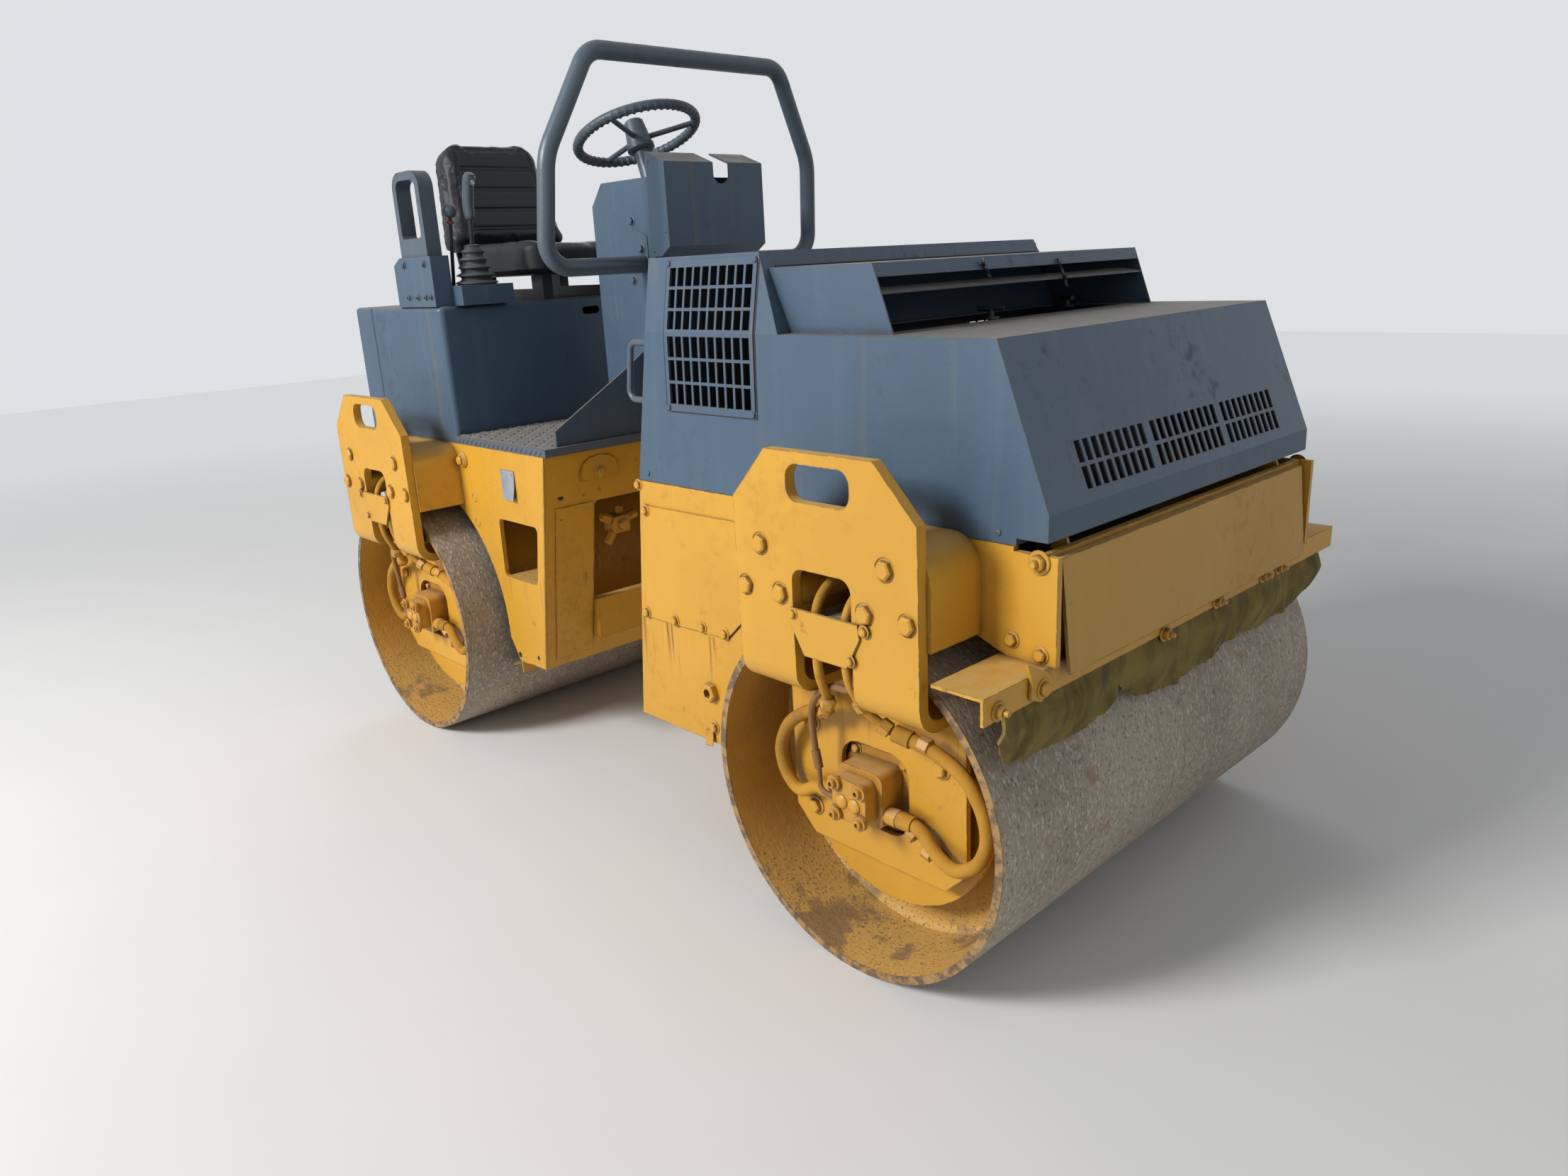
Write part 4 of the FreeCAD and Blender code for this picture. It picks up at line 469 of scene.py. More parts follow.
def drum_steel(name, axle):
    """Radius from the axle = sqrt((x - axle)^2 + (z - axle height)^2); past the middle of the
    shell it is tread, and far out along the axle it is rim."""
    f = Finish(name)
    across = f.math("SUBTRACT", f.part(f.place, 0), axle)
    above = f.math("SUBTRACT", f.part(f.place, 2), AXLE_HEIGHT)
    radius = f.math("SQRT", f.math("ADD", f.times(across, across), f.times(above, above)))
    tread = f.climb(radius, MID_SHELL - 0.001, MID_SHELL + 0.001)
    rim = f.climb(f.math("ABSOLUTE", f.part(f.place, 1)), RIM_START, RIM_END)
    broad, fine = f.cloud(3.1, 7.0), f.cloud(46.0, 9.0)
    steel = f.blend(f.climb(broad, 0.35, 0.68), (0.37, 0.315, 0.24), (0.27, 0.225, 0.17))
    grain = f.cloud(150.0, 8.0, (0.5, 1, 0.5))
    steel = f.blend(f.climb(grain, 0.5, 0.66), steel, (0.52, 0.475, 0.4))
    pits = f.patches(0.54, 0.66, 190.0, 8.0, (0.55, 1, 0.55))
    steel = f.blend(pits, steel, (0.13, 0.098, 0.07))
    bands = f.patches(0.52, 0.7, 34.0, 4.0, (0.06, 1, 0.06))
    steel = f.blend(f.times(bands, 0.35), steel, (0.17, 0.132, 0.098))
    steel = f.blend(f.patches(0.6, 0.74, 14.0, 7.0), steel, (0.27, 0.165, 0.085))
    low = f.climb(f.math("ADD", above, f.times(f.math("SUBTRACT", broad, 0.5), 0.2)),
                  -0.06, -0.3)
    paint = f.blend(f.climb(broad, 0.35, 0.7), (0.52, 0.26, 0.028), (0.4, 0.19, 0.024))
    dusted = f.blend(low, paint, (0.54, 0.32, 0.085))
    speck = f.times(f.patches(0.56, 0.62, 170.0, 5.0),
                    f.climb(f.math("ADD", low, f.math("SUBTRACT", fine, 0.5)), 0.3, 0.85))
    inside = f.blend(speck, dusted, (0.2, 0.115, 0.045))
    bare = f.climb(f.times(f.cloud(7.0, 9.0), low), 0.52, 0.6)
    inside = f.blend(f.times(bare, 0.8), inside, (0.19, 0.125, 0.065))
    colour = f.blend(f.math("MAXIMUM", tread, rim), inside, steel)
    scuffed = f.blend(rim, colour, f.blend(f.climb(fine, 0.42, 0.6), (0.34, 0.2, 0.075),
                                           (0.13, 0.085, 0.05)))
    rough = f.climb(fine, 0.3, 0.7, 0.55, 0.85)
    f.finish(scuffed, rough, [(grain, 0.0016), (fine, 0.0018), (f.cloud(6.0, 4.0), 0.002)])


drum_steel("front_drum_steel", AXLE)
drum_steel("rear_drum_steel", -AXLE)


# %% [markdown]
# ## Rubber, vinyl, plastic and the rest
# The scraper belts are old conveyor rubber that caught spray; the hoses are braided rubber under
# the same yellow. The seat is black vinyl, and grips, knobs and small plates are plain colours with
# a fine grain and dust. They differ only in a few numbers, so a table gives those.


# %% Soft and dark finishes
def coated_rubber(name, coat, bare, ribs, flake, runs=0.0):
    """Rubber with a coat of paint that has worn off where a cloud is high; the ribs are its weave,
    and the runs are darker streaks down the sheet."""
    f = Finish(name, specular=0.25)
    flaked = f.climb(f.cloud(16.0, 9.0), *flake)
    colour = f.blend(flaked, f.blend(f.patches(0.3, 0.7, 5.0), coat, darker(coat, 0.62)), bare)
    streaks = f.patches(0.46, 0.68, 26.0, 6.0, (1, 1, 0.12))
    colour = f.blend(f.times(streaks, runs), colour, darker(coat, 0.3))
    # painted shade and grime: darker in corners, where the sky within reach is hidden
    colour = f.blend(f.times(f.painted_shade_corners(0.03), 0.5), colour, darker(bare, 0.35))
    f.finish(colour, 0.78, [(f.cloud(ribs, 2.0, (1, 1, 2.5)), 0.0006),
                            (f.cloud(22.0, 6.0), 0.0022)])


def plain_dark(name, colour, rough, grain, depth, metallic=0.0, dust=0.55):
    """One plain colour with dust that settles where the face looks up, and a fine grain."""
    f = Finish(name, metallic=metallic, specular=0.4)
    level = f.climb(f.part(f.facing, 2), 0.3, 1.0, 0.0, dust)
    film = f.times(level, f.patches(0.35, 0.7, 24.0, 7.0))
    shade = f.blend(f.patches(0.35, 0.7, 6.0), colour, darker(colour, 0.6))
    scatter = f.add("TexVoronoi", {"Vector": f.place, "Scale": grain}).outputs[0]
    f.finish(f.blend(film, shade, (0.16, 0.145, 0.125)), f.climb(film, 0, 1, rough, 0.9),
             [(scatter, depth)])


coated_rubber("hose_overspray", (0.5, 0.255, 0.03), (0.3, 0.135, 0.024), 260.0, (0.56, 0.66))
coated_rubber("belt_rubber", (0.235, 0.172, 0.04), (0.12, 0.09, 0.032), 90.0,
              (0.42, 0.72), 0.85)
for row in [
    # name, colour, roughness, grain, its depth; if unlike the rest, metallic and dust
    ("seat_vinyl", (0.0045, 0.0055, 0.01), 0.46, 900.0, 0.0002, 0.0, 0.1),
    ("lever_black", (0.022, 0.022, 0.026), 0.5, 400.0, 0.0001),
    ("wheel_plastic", (0.066, 0.09, 0.115), 0.45, 500.0, 0.0001),
    ("engine_iron", (0.03, 0.028, 0.026), 0.7, 120.0, 0.0008),
    ("ram_chrome", (0.6, 0.6, 0.62), 0.16, 300.0, 0.00002, 1.0),
    ("boot_rubber", (0.05, 0.056, 0.062), 0.6, 600.0, 0.0002),
    ("faded_red", (0.3, 0.045, 0.035), 0.5, 500.0, 0.0001),
    # painted shadow for the thin lines in the gaps round the service panels
    ("gap_dark", (0.06, 0.032, 0.012), 0.85, 300.0, 0.0004, 0.0, 0.1),
    ("plate_grey", (0.33, 0.37, 0.41), 0.45, 500.0, 0.0001),
    ("chalk_white", (0.62, 0.6, 0.56), 0.55, 500.0, 0.0001),
    ("rusty_hose", (0.27, 0.13, 0.045), 0.8, 300.0, 0.0006),
]:
    plain_dark(*row)

# %% Finishes for the solid nodes
STAND_INS = {"motor_yellow": "casting_yellow", "grille_slate": "panel_slate",
             "seat_steel": "lever_black", "ram_paint": "casting_yellow"}
OWN_FINISH = {"front_drum": "front_drum_steel", "rear_drum": "rear_drum_steel",
              "front_fascia": "fascia_ochre"}
for entry in frame["record"]["subparts"]:
    node, slot = entry["node"], entry["material_slot"]
    nodes[node].data.materials.clear()
    nodes[node].data.materials.append(finishes[OWN_FINISH.get(node) or STAND_INS.get(slot, slot)])
print("finished", len(nodes), "nodes")

# %% [markdown]
# ## Bolts, nuts and rivets
# Hundreds of small fasteners hold the plates, and nobody lines them up. One bolt could be modelled
# and copied by hand, but each kind is a profile turned in steps, six for a hexagon, with widths and
# heights as shares of the real ones. Tables give the places, and every copy is turned a little.

# %% Fasteners from turned profiles
KINDS = {
    # kind: turned parts of (steps, (share of half width, share of height) pairs)
    "hex": [(6, [(0, 1), (0.8, 1), (1, 0.8), (1, 0.16)]),
            (24, [(0.75, 0.2), (1.3, 0.2), (1.38, 0.14), (1.38, 0)])],
    "nut": [(6, [(0.4, 0.6), (0.8, 0.6), (1, 0.5), (1, 0.12)]),
            (12, [(0, 1.00), (0.36, 1.00), (0.44, 0.94), (0.44, 0.5)]),
            (20, [(0.7, 0.14), (1.4, 0.14), (1.46, 0.1), (1.46, 0)])],
    "ring": [(6, [(0, 0.1), (0.5, 0.1), (0.5, 1), (0.85, 1), (1, 0.85), (1, 0)])],
    "socket": [(20, [(0, 0.5), (0.52, 0.5), (0.52, 1), (0.88, 1), (1, 0.86), (1, 0)])],
    "pan": [(16, [(0, 1), (0.5, 0.93), (0.85, 0.65), (1, 0.2), (1, 0)])],
    "collar": [(6, [(0, 1), (0.72, 1), (1, 0.9), (1, 0.1), (0.72, 0), (0, 0)])],
}
OUT, AHEAD = (0, 1, 0), (1, 0, 0)
rng = np.random.default_rng(7)


def fasten(name, rows, body, finish="frame_yellow"):
    """Rows are (kind, place, outward axis, half width, height); rows that share a kind and a size
    are copies of one shape."""
    places, axes = (np.array([row[i] for row in rows], float) for i in (1, 2))
    turns = turned_to(axes, rng.uniform(0, np.pi / 3, len(rows)))
    sizes = [(row[0], row[3], row[4]) for row in rows]
    shapes = []
    for size in sorted(set(sizes)):
        chosen = np.array([other == size for other in sizes])
        for steps, profile in KINDS[size[0]]:
            shape = lathe(np.array(profile) * size[1:], steps)
            shapes.append(spread(shape, places[chosen], turns[chosen]))
    piece(name, shapes, body, finish)


def both(rows):
    """The rows of one side, first mirrored to the right side, then as they are."""
    return [(kind, (x, side * y, z), (a, side * b, c), width, height) for side in (-1, 1)
            for kind, (x, y, z), (a, b, c), width, height in rows]


MODULES = [("front", AXLE, 1), ("rear", -AXLE, -1)]
FORK_BOLTS = [(-0.147, 0.832), (0.147, 0.832), (-0.101, 0.748), (0.101, 0.748),
              (-0.192, 0.748), (0.192, 0.748)]
CARRIER_BOLTS = [(-0.16, 0.259), (0.16, 0.259), (-0.16, 0.441), (0.16, 0.441)]
CLAMP_BOLTS = [(-0.0664, 0.718), (0.1022, 0.72), (0.069, 0.66)]
LOBE, FLANGE = 0.0315, 0.085
lobes = [(x, AXLE_HEIGHT + z) for x in (-LOBE, LOBE) for z in (-LOBE, LOBE)]
flange = [(FLANGE * math.cos(a), AXLE_HEIGHT + FLANGE * math.sin(a))
          for a in np.radians([45, 135, 225, 315])]
for module, axle, way in MODULES:
    table = [
        # kind, distance out, half width, height, places along and up
        ("hex", 0.6362, 0.0172, 0.013, FORK_BOLTS), ("hex", 0.517, 0.015, 0.013, CARRIER_BOLTS),
        ("hex", 0.645, 0.0085, 0.007, [(way * x, z) for x, z in CLAMP_BOLTS]),
        ("socket", 0.598, 0.0085, 0.008, lobes),
        ("pan", 0.59, 0.0145, 0.006, [(-0.018, 0.345), (0.014, 0.345)]),
        ("hex", 0.5, 0.0095, 0.008, flange),
    ]
    fasten(module + "_side_bolts", both([
        (kind, (axle + x, out, z), OUT, width, height)
        for kind, out, width, height, spots in table for x, z in spots]), module + "_module")

# %% [markdown]
# ## Nuts and unions on the hydraulic lines
# Each rigid pipe ends in a union nut where its hose starts; each port of the motor has a hexagon
# fitting. Cutting them into the pipes would change the solids, so they are six-sided collars
# threaded on the pipes' own route: a place and a direction each. One table serves four motors.

# %% Hexagon unions
UNIONS = [
    # distance along, outboard and above the axle; direction; half width, length
    ((-0.03, 0.6, 0.2), (-0.5, -0.25, -0.8), 0.015, 0.022),
    ((-0.064, 0.57, 0.162), (-0.8, -0.3, -0.5), 0.016, 0.024),
    ((0.046, 0.605, 0.22), (0.3, -0.4, -0.8), 0.015, 0.022),
    ((0.074, 0.58, 0.176), (0.7, -0.3, -0.5), 0.016, 0.024),
    ((0.145, 0.56, 0.153), (1.0, -0.1, -0.2), 0.016, 0.026),
    ((-0.0813, 0.541, -0.02), (0, 0, -1), 0.0165, 0.018),
    ((0.096, 0.541, -0.0275), (-1, 0, 0), 0.0165, 0.018),
    ((0.123, 0.543, -0.049), (-0.8, 0, 0.5), 0.015, 0.022),
    ((0.164, 0.545, -0.068), (-0.9, 0, 0.2), 0.0155, 0.024),
]
for module, axle, _ in MODULES:
    fasten(module + "_line_unions", both([
        ("collar", (axle + x, y, AXLE_HEIGHT + z), aim, width, length)
        for (x, y, z), aim, width, length in UNIONS]), module + "_module",
        "casting_yellow")

# %% [markdown]
# ## The thin leak-off hose
# A thin hose with rusty ends drops from the clamp and curls round to the side of the motor. It is
# held at both ends, so it needs no simulation as a free cord would: a smooth curve through points
# read off the photograph carries a round section, with a thicker sleeve at each metal end.

# %% Leak-off hose
LEAK_OFF = [(0.06, 0.625, 0.337), (0.06, 0.622, 0.267), (0.031, 0.612, 0.238),
            (-0.024, 0.6, 0.2255), (-0.073, 0.59, 0.191), (-0.098, 0.58, 0.145),
            (-0.102, 0.57, 0.067), (-0.0946, 0.57, 0.0326)]
LEAK_TAIL = [(-0.0946, 0.57, 0.036), (-0.0925, 0.571, 0.01), (-0.088, 0.573, -0.006),
             (-0.067, 0.578, -0.011), (-0.044, 0.582, -0.0055)]
SLEEVES = [(0, 0.62), (6, 1.0)]  # first point of a stretch, share of the stretch that is covered
HOSE_GUIDE = (0, 1, 0.2)
for module, axle, _ in MODULES:
    shapes = []
    for side in (-1, 1):
        flip, shift = (1, side, 1), (axle, 0, AXLE_HEIGHT)
        for route, size in ((LEAK_OFF, 0.0068), (LEAK_TAIL, 0.0052)):
            path = smooth(np.array(route) * flip + shift, 80)
            shapes.append(tube(path, size, 12, guide=HOSE_GUIDE))
        for first, share in SLEEVES:
            start, end = np.array(LEAK_OFF[first:first + 2])
            path = np.linspace(start, start + (end - start) * share, 6)
            shapes.append(tube(path * flip + shift, 0.0088, 14, guide=HOSE_GUIDE))
    piece(module + "_leak_off_hoses", shapes, module + "_module", "rusty_hose")

# %% [markdown]
# ## Torn scraper belts
# Strips of old conveyor belt hang behind the scraper bars and wipe the drums. The front one is torn
# along its lower edge, bulges between its bolts and lies near the drum. A cloth simulation would
# not tear like that, so it is a sheet on a grid: across the machine, and down from the bar to an
# edge that a table gives, never nearer to the drum than some millimetres.

# %% Belts on all four bars
FRONT_EDGE = np.array([
    # place across and height of the torn edge, in millimetres
    (-600, 574), (-593, 560), (-578, 532), (-545, 526), (-513, 516), (-480, 519), (-444, 513),
    (-400, 514), (-365, 509), (-330, 506), (-297, 510), (-276, 517), (-264, 554), (-252, 567),
    (-241, 563), (-220, 545), (-194, 536), (-158, 512), (-100, 503), (-42, 497), (14, 499),
    (61, 507), (100, 501), (131, 501), (160, 506), (191, 520), (232, 535), (255, 521),
    (289, 516), (350, 511), (417, 512), (480, 516), (538, 525), (557, 537), (600, 542)]) / 1000
FOLDS = np.array([-0.268, -0.03, 0.205, 0.452])
BELT_GAP, BELT_THICK, BAR_FOOT, BELT_TOP, BELT_FRONT = 0.0105, 0.0075, 0.628, 0.662, 1.24


def outer_belt(edge, half):
    """From the bar's foot the belt falls 0.2 m inwards per metre, but stays at least the drum's
    radius and a gap from the axle. Between two folds it bellies out as |sin(pi share across)|,
    most just below its middle and not at all above the bar's foot; each fold is a ridge,
    1 / (1 + (distance / width)^2)."""
    across = np.linspace(-half, half, 400)
    share = np.linspace(0, 1, 30)[:, None]
    ragged = (0.002 * np.sin(across * 311) * np.sin(across * 97 + 1.0)
              + 0.001 * np.sin(across * 517))
    foot = np.interp(across, edge[:, 0], edge[:, 1]) + ragged
    z = BELT_TOP + (foot - BELT_TOP) * share
    hang = BELT_FRONT - 0.2 * np.clip(BAR_FOOT - z, 0, None)
    drum = AXLE + np.sqrt(DRUM_RADIUS**2 - (z - AXLE_HEIGHT)**2) + BELT_GAP
    ends = np.concatenate([[-half - 0.06], FOLDS, [half + 0.06]])
    step = np.clip(np.searchsorted(ends, across) - 1, 0, len(ends) - 2)
    belly = np.abs(np.sin(np.pi * (across - ends[step]) / (ends[step + 1] - ends[step])))**0.7
    ridge = sum(1 / (1 + ((across - y) / 0.009)**2) for y in FOLDS)
    small = 0.0015 * np.sin(across * 43 + 6 * share) + 0.0008 * np.sin(across * 91)
    out = 0.024 * belly * np.sin(np.pi * np.clip(share * 0.86, 0, 1))**1.2
    out = out + 0.019 * ridge * share**1.5 + small * share
    out = np.clip(out, 0, None) * np.clip((BAR_FOOT + 0.004 - z) / 0.04, 0, 1)
    return np.stack([np.maximum(hang, drum) + out, np.broadcast_to(across, z.shape), z], -1)


def inner_belt(half):
    """From the foot of the inner bar down and towards the drum, a straight line with a sagging and
    slightly ragged edge."""
    across = np.linspace(-half, half, 120)
    share = np.linspace(0, 1, 12)[:, None]
    reach = 0.074 - 0.01 * np.sin(across * 9.0 + 0.5)**2 - 0.003 * np.sin(across * 61.0)
    x = 0.47 + share * reach
    z = 0.266 - share * (0.034 + 0.004 * np.sin(across * 17.0)) + 0.004 * np.sin(np.pi * share)
    return np.stack([x, np.broadcast_to(across, x.shape), z], -1)


# the rear belts are narrower, torn half as deep, and hang from a higher foot
rear_edge = FRONT_EDGE[::-1] * (-0.78, 0.5) + (0, 0.266)
for module, edge, half, way in (("front", FRONT_EDGE, 0.6, 1), ("rear", rear_edge, 0.4695, -1)):
    shapes = [sheet(surface * (way, 1, 1), BELT_THICK)
              for surface in (outer_belt(edge, half), inner_belt(0.482))]
    belt = piece(module + "_torn_belts", shapes, module + "_module", "belt_rubber", crease=50)
    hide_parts(module + "_scraper_belts")

# %% [markdown]
# ## Bar studs and the bent bracket
# The bar is clamped by studs whose threads stand out past their nuts, and a bent bracket has been
# bolted over its end. The bracket could be bent from a box, but its outline is what shows, so that
# is drawn with small corner curves and given the sheet's thickness.

# %% Studs, bracket and nuts at the front bar
BAR_STUDS = [(-0.624, 0.641), (-0.111, 0.625), (0.094, 0.636), (0.299, 0.64), (0.374, 0.64)]
fasten("front_bar_studs", [("nut", (1.25, y, z), AHEAD, 0.0115, 0.022) for y, z in BAR_STUDS],
       "front_module")
BRACKET = [(-0.556, 0.6985), (-0.499, 0.669), (-0.478, 0.647), (-0.486, 0.64),
           (-0.5155, 0.622), (-0.545, 0.635), (-0.543, 0.664)]
BRACKET_FRONT = 1.2575
piece("bar_bracket", cut_plate(rounded(BRACKET, 0.004, 3), 1.2505, BRACKET_FRONT, 0),
      "front_module", "frame_yellow", bevel=0.0012)
fasten("bar_bracket_bolt", [("hex", (BRACKET_FRONT, -0.513, 0.645), AHEAD, 0.0125, 0.01)],
       "front_module")

# %% [markdown]
# ## Service panels on the front frame
# A thin cover is bolted over each side of the front frame, with its lower edge cut on a slant where
# the drum begins. It is one outline as thick as the sheet. A groove cut round it would be lost in
# the sheet's own thickness, so a thin dark bead is painted shadow along the gap.

# %% Service panels, frame bolts and a tag
FRAME_SIDE = 0.485
PANEL = [(0.1625, 0.5365), (0.1735, 0.675), (0.187, 0.8045), (0.598, 0.8085), (0.586, 0.7),
         (0.509, 0.594), (0.456, 0.5445), (0.392, 0.5403), (0.3558, 0.5407), (0.3055, 0.5382)]
PANEL_CORNERS = [0.006] * 4 + [0.03, 0.02, 0.02] + [0.004] * 3
PANEL_SHADOW_LINE = [(0.1865, 0.8), (0.1735, 0.675), (0.1618, 0.536), (0.3055, 0.5374),
             (0.456, 0.5437), (0.51, 0.593), (0.587, 0.7)]
PANEL_BOLTS = [(0.198, 0.793), (0.17, 0.5475), (0.276, 0.549), (0.3725, 0.5525),
               (0.447, 0.5535)]
FRAME_BOLTS = [
    # kind, place along, place up, half width, height
    ("ring", 0.3835, 0.4025, 0.0225, 0.016), ("hex", 0.3835, 0.317, 0.012, 0.01),
    ("hex", 0.1745, 0.8485, 0.0095, 0.008), ("nut", 1.228, 0.8405, 0.014, 0.022),
    ("hex", 1.1776, 0.702, 0.011, 0.009), ("hex", 1.2335, 0.687, 0.011, 0.009),
]


def shadow_line_beads(corners, size):
    """One thin straight tube for each stretch between two corners, as a painted shadow line."""
    return [tube(np.linspace(start, end, 6), size, 8)
            for start, end in zip(corners, corners[1:])]


panels, shadow_beads = [], []
for side in (-1, 1):
    panels += cut_plate(rounded(PANEL, PANEL_CORNERS), side * FRAME_SIDE,
                        side * (FRAME_SIDE + 0.0045), 1)
    # a thin dark bead along the panel's edge is painted shadow in its gap
    shadow_beads += shadow_line_beads([(x, side * (FRAME_SIDE + 0.0005), z) for x, z in PANEL_SHADOW_LINE], 0.0015)
piece("front_service_panels", panels, "front_module", "frame_yellow", bevel=0.0008)
piece("panel_shadow_lines", shadow_beads, "front_module", "gap_dark")
rows = [("hex", (x, FRAME_SIDE + 0.0045, z), OUT, 0.0105, 0.009) for x, z in PANEL_BOLTS]
rows += [(kind, (x, FRAME_SIDE, z), OUT, *size) for kind, x, z, *size in FRAME_BOLTS]
fasten("front_frame_bolts", both(rows), "front_module")
across, down = np.meshgrid(np.linspace(0, 1, 8), np.linspace(0, 1, 10))
tag = np.stack([0.357 + 0.026 * across + 0.004 * down, -0.4905 - 0.006 * down**2,
                0.306 - 0.036 * down + 0.004 * across], -1)
piece("stud_tag", [sheet(tag, 0.0012)], "front_module", "casting_yellow")

# %% [markdown]
# ## Holes, plugs and welds on the rear frame
# The rear frame is a plain welded tub, but its sides carry a bent plate, a threaded boss, two round
# welds and a few drilled places, and its front face has overlaid strips and a round-topped bracket.
# Cutting real holes is work for the solid, whose wall is whole here, so the drilled places are dark
# plugs, painted shade standing for each hole; welds are tubes with an uneven radius.

# %% Small parts on the rear frame
def front_face(z):
    """The slant of the frame's front face: x falls 0.111 m over the 0.594 m below the deck."""
    return -0.223 - (0.872 - z) * 0.111 / 0.594


RING_WELD = lathe([(0.0095, 0), (0.0105, 0.0016), (0.0125, 0.002), (0.0145, 0.001),
                   (0.015, 0)], 28)
BOSS = lathe([(0, 0.008), (0.0185, 0.008), (0.022, 0.004), (0.0225, 0)], 32)
FACE_HOLES = [(0.435, 0.76, 0.0085), (0.4355, 0.706, 0.0085), (0.411, 0.675, 0.006),
              (0.412, 0.5985, 0.006), (0.428, 0.582, 0.005)]
FACE_BRACKET = [(-0.377, 0.793), (-0.262, 0.793), (-0.262, 0.815), (-0.27, 0.838),
                (-0.29, 0.851), (-0.32, 0.855), (-0.35, 0.851), (-0.369, 0.838),
                (-0.377, 0.815)]
beads = []
bead = np.arange(120)
lumps = 0.003 + 0.0007 * np.sin(bead * 1.9) + 0.0004 * np.sin(bead * 0.7)
for side in (-1, 1):
    face = side * FRAME_SIDE
    turns = turned_to([(0, side, 0)] * 2)
    beads.append(spread(RING_WELD, [(-0.61, face, 0.726), (-0.6095, face, 0.656)], turns))
    beads.append(spread(BOSS, [(-0.6455, face, 0.828)], turns[:1]))
    beads.append(tube(np.linspace([front_face(0.85), side * 0.4845, 0.85],
                                  [front_face(0.29), side * 0.4845, 0.29], 120), lumps, 8))
levels = np.array([0.3, 0.515, 0.731])[:, None] + np.zeros(2)
for side in (-1, 1):
    strip = np.stack([front_face(levels) + 0.0012, side * np.array([[0.452, 0.334]] * 3),
                      levels], -1)
    beads.append(sheet(strip, 0.003))
beads += cut_plate(FACE_BRACKET, -0.242, -0.2235, 0)
piece("rear_frame_welds", beads, "rear_module", "frame_yellow")
rows = both([("hex", (-0.6455, 0.493, 0.828), OUT, 0.013, 0.01)])
rows += [("hex", (-0.2235, -0.3205, 0.81), AHEAD, 0.012, 0.01)]
fasten("rear_frame_bolts", rows, "rear_module")
# dark plugs are painted shade where the drilled holes are
rows = [("pan", (-0.4646, FRAME_SIDE, 0.293), OUT, 0.0085, 0.0006),
        ("pan", (-0.3645, FRAME_SIDE, 0.306), OUT, 0.0065, 0.0006)]
rows += [("pan", (front_face(z), y, z), (1, 0, 0.187), size, 0.0006) for y, z, size in FACE_HOLES]
fasten("drilled_hole_shade", both(rows), "rear_module", "lever_black")
plate = np.stack([-0.448 + 0.072 * across + 0.01 * down * (1 - across),
                  -0.4865 - 0.011 * down**2 * (0.4 + 0.6 * across), 0.822 - 0.078 * down], -1)
piece("bent_sign_plate", [sheet(plate, 0.0015)], "rear_module", "plate_grey")
fasten("sign_plate_rivets", [("pan", (x, -0.4872, 0.813), (0, -1, 0), 0.0035, 0.002)
                             for x in (-0.436, -0.388)], "rear_module")

# %% [markdown]
# ## Seams of the sheet metal
# The tank is welded from two sheets, and each grille is a panel of its own in the hood's side. The
# solids join them flush, and a drawn line would be lost, so the tank's seam is a thin bead that
# follows the sheet; round each grille a thin black bead is painted shadow in the gap.


# %% Seam of the tank, painted shadow lines round the grilles
def hood_side(z):
    """Half width of the hood: it falls from 0.485 at its foot to 0.476 at the shoulder, then to
    0.45 at the top."""
    return np.interp(z, [0.861, 1.182, 1.332], [0.485, 0.476, 0.45])


GRILLE = [(0.2985, 1.3225), (0.2985, 1.182), (0.2985, 1.0205), (0.5815, 1.0205),
          (0.5815, 1.182), (0.5815, 1.3225), (0.2985, 1.3225)]
tank_seams, grille_shadow_lines = [], []
for side in (-1, 1):
    seam = np.linspace([-1.1, side * FRAME_SIDE, 0.98], [-1.1, side * FRAME_SIDE, 1.236], 8)
    tank_seams.append(tube(seam, 0.0018, 8))
    # round each grille a thin black bead is painted shadow in the gap
    grille_shadow_lines += shadow_line_beads([(x, side * hood_side(z), z) for x, z in GRILLE], 0.0014)
piece("tank_seams", tank_seams, "rear_module", "panel_slate")
piece("grille_shadow_lines", grille_shadow_lines, "hood", "lever_black")

# %% [markdown]
# ## Valve in the gap and shelf in the step
# A hydraulic valve with its fittings shows in the gap beside the pivot, and each step hole has a
# shelf at its sill. Seen only through gaps, neither needs a solid of its own: the valve is a
# bevelled block with turned six-sided fittings on its faces, the shelf a plain sheet.

# %% Valve and step shelves
VALVE = [(-0.245, 0.618), (-0.195, 0.618), (-0.195, 0.664), (-0.245, 0.664)]
FITTINGS = [
    # place, direction, half width, length
    ((-0.31, -0.243, 0.655), (0, -1, 0.45), 0.013, 0.036),
    ((-0.31, -0.238, 0.622), (0, -0.6, -0.8), 0.012, 0.04),
    ((-0.31, -0.197, 0.65), (0, 1, 0.25), 0.0125, 0.04),
    ((-0.292, -0.221, 0.641), (1, 0, 0), 0.014, 0.022),
    ((-0.32, -0.212, 0.662), (0, 0.2, 1), 0.012, 0.026),
]
SHELF = np.array([(-0.483, -0.482), (-0.328, -0.482), (-0.328, -0.372), (-0.483, -0.372)])
piece("steering_valve", cut_plate(rounded(VALVE, 0.006), -0.345, -0.29, 0), "rear_module",
      "casting_yellow", bevel=0.002)
fasten("valve_fittings", [("collar", *row) for row in FITTINGS], "rear_module",
       "casting_yellow")
shelves = [part for side in (-1, 1) for part in cut_plate(SHELF * (1, -side), 0.5165, 0.5205, 2)]
piece("step_shelves", shelves, "rear_module", "frame_yellow", bevel=0.0006)

# %% [markdown]
# ## Tread plate on the deck
# The deck is stamped with short raised ovals, each set across its neighbours. A bump in the paint
# would vanish at a low angle, so one oval is a low dome of ten by three points, and the floor is
# copies of it in two directions, left out where the console stands. Ribs edge the skirt.

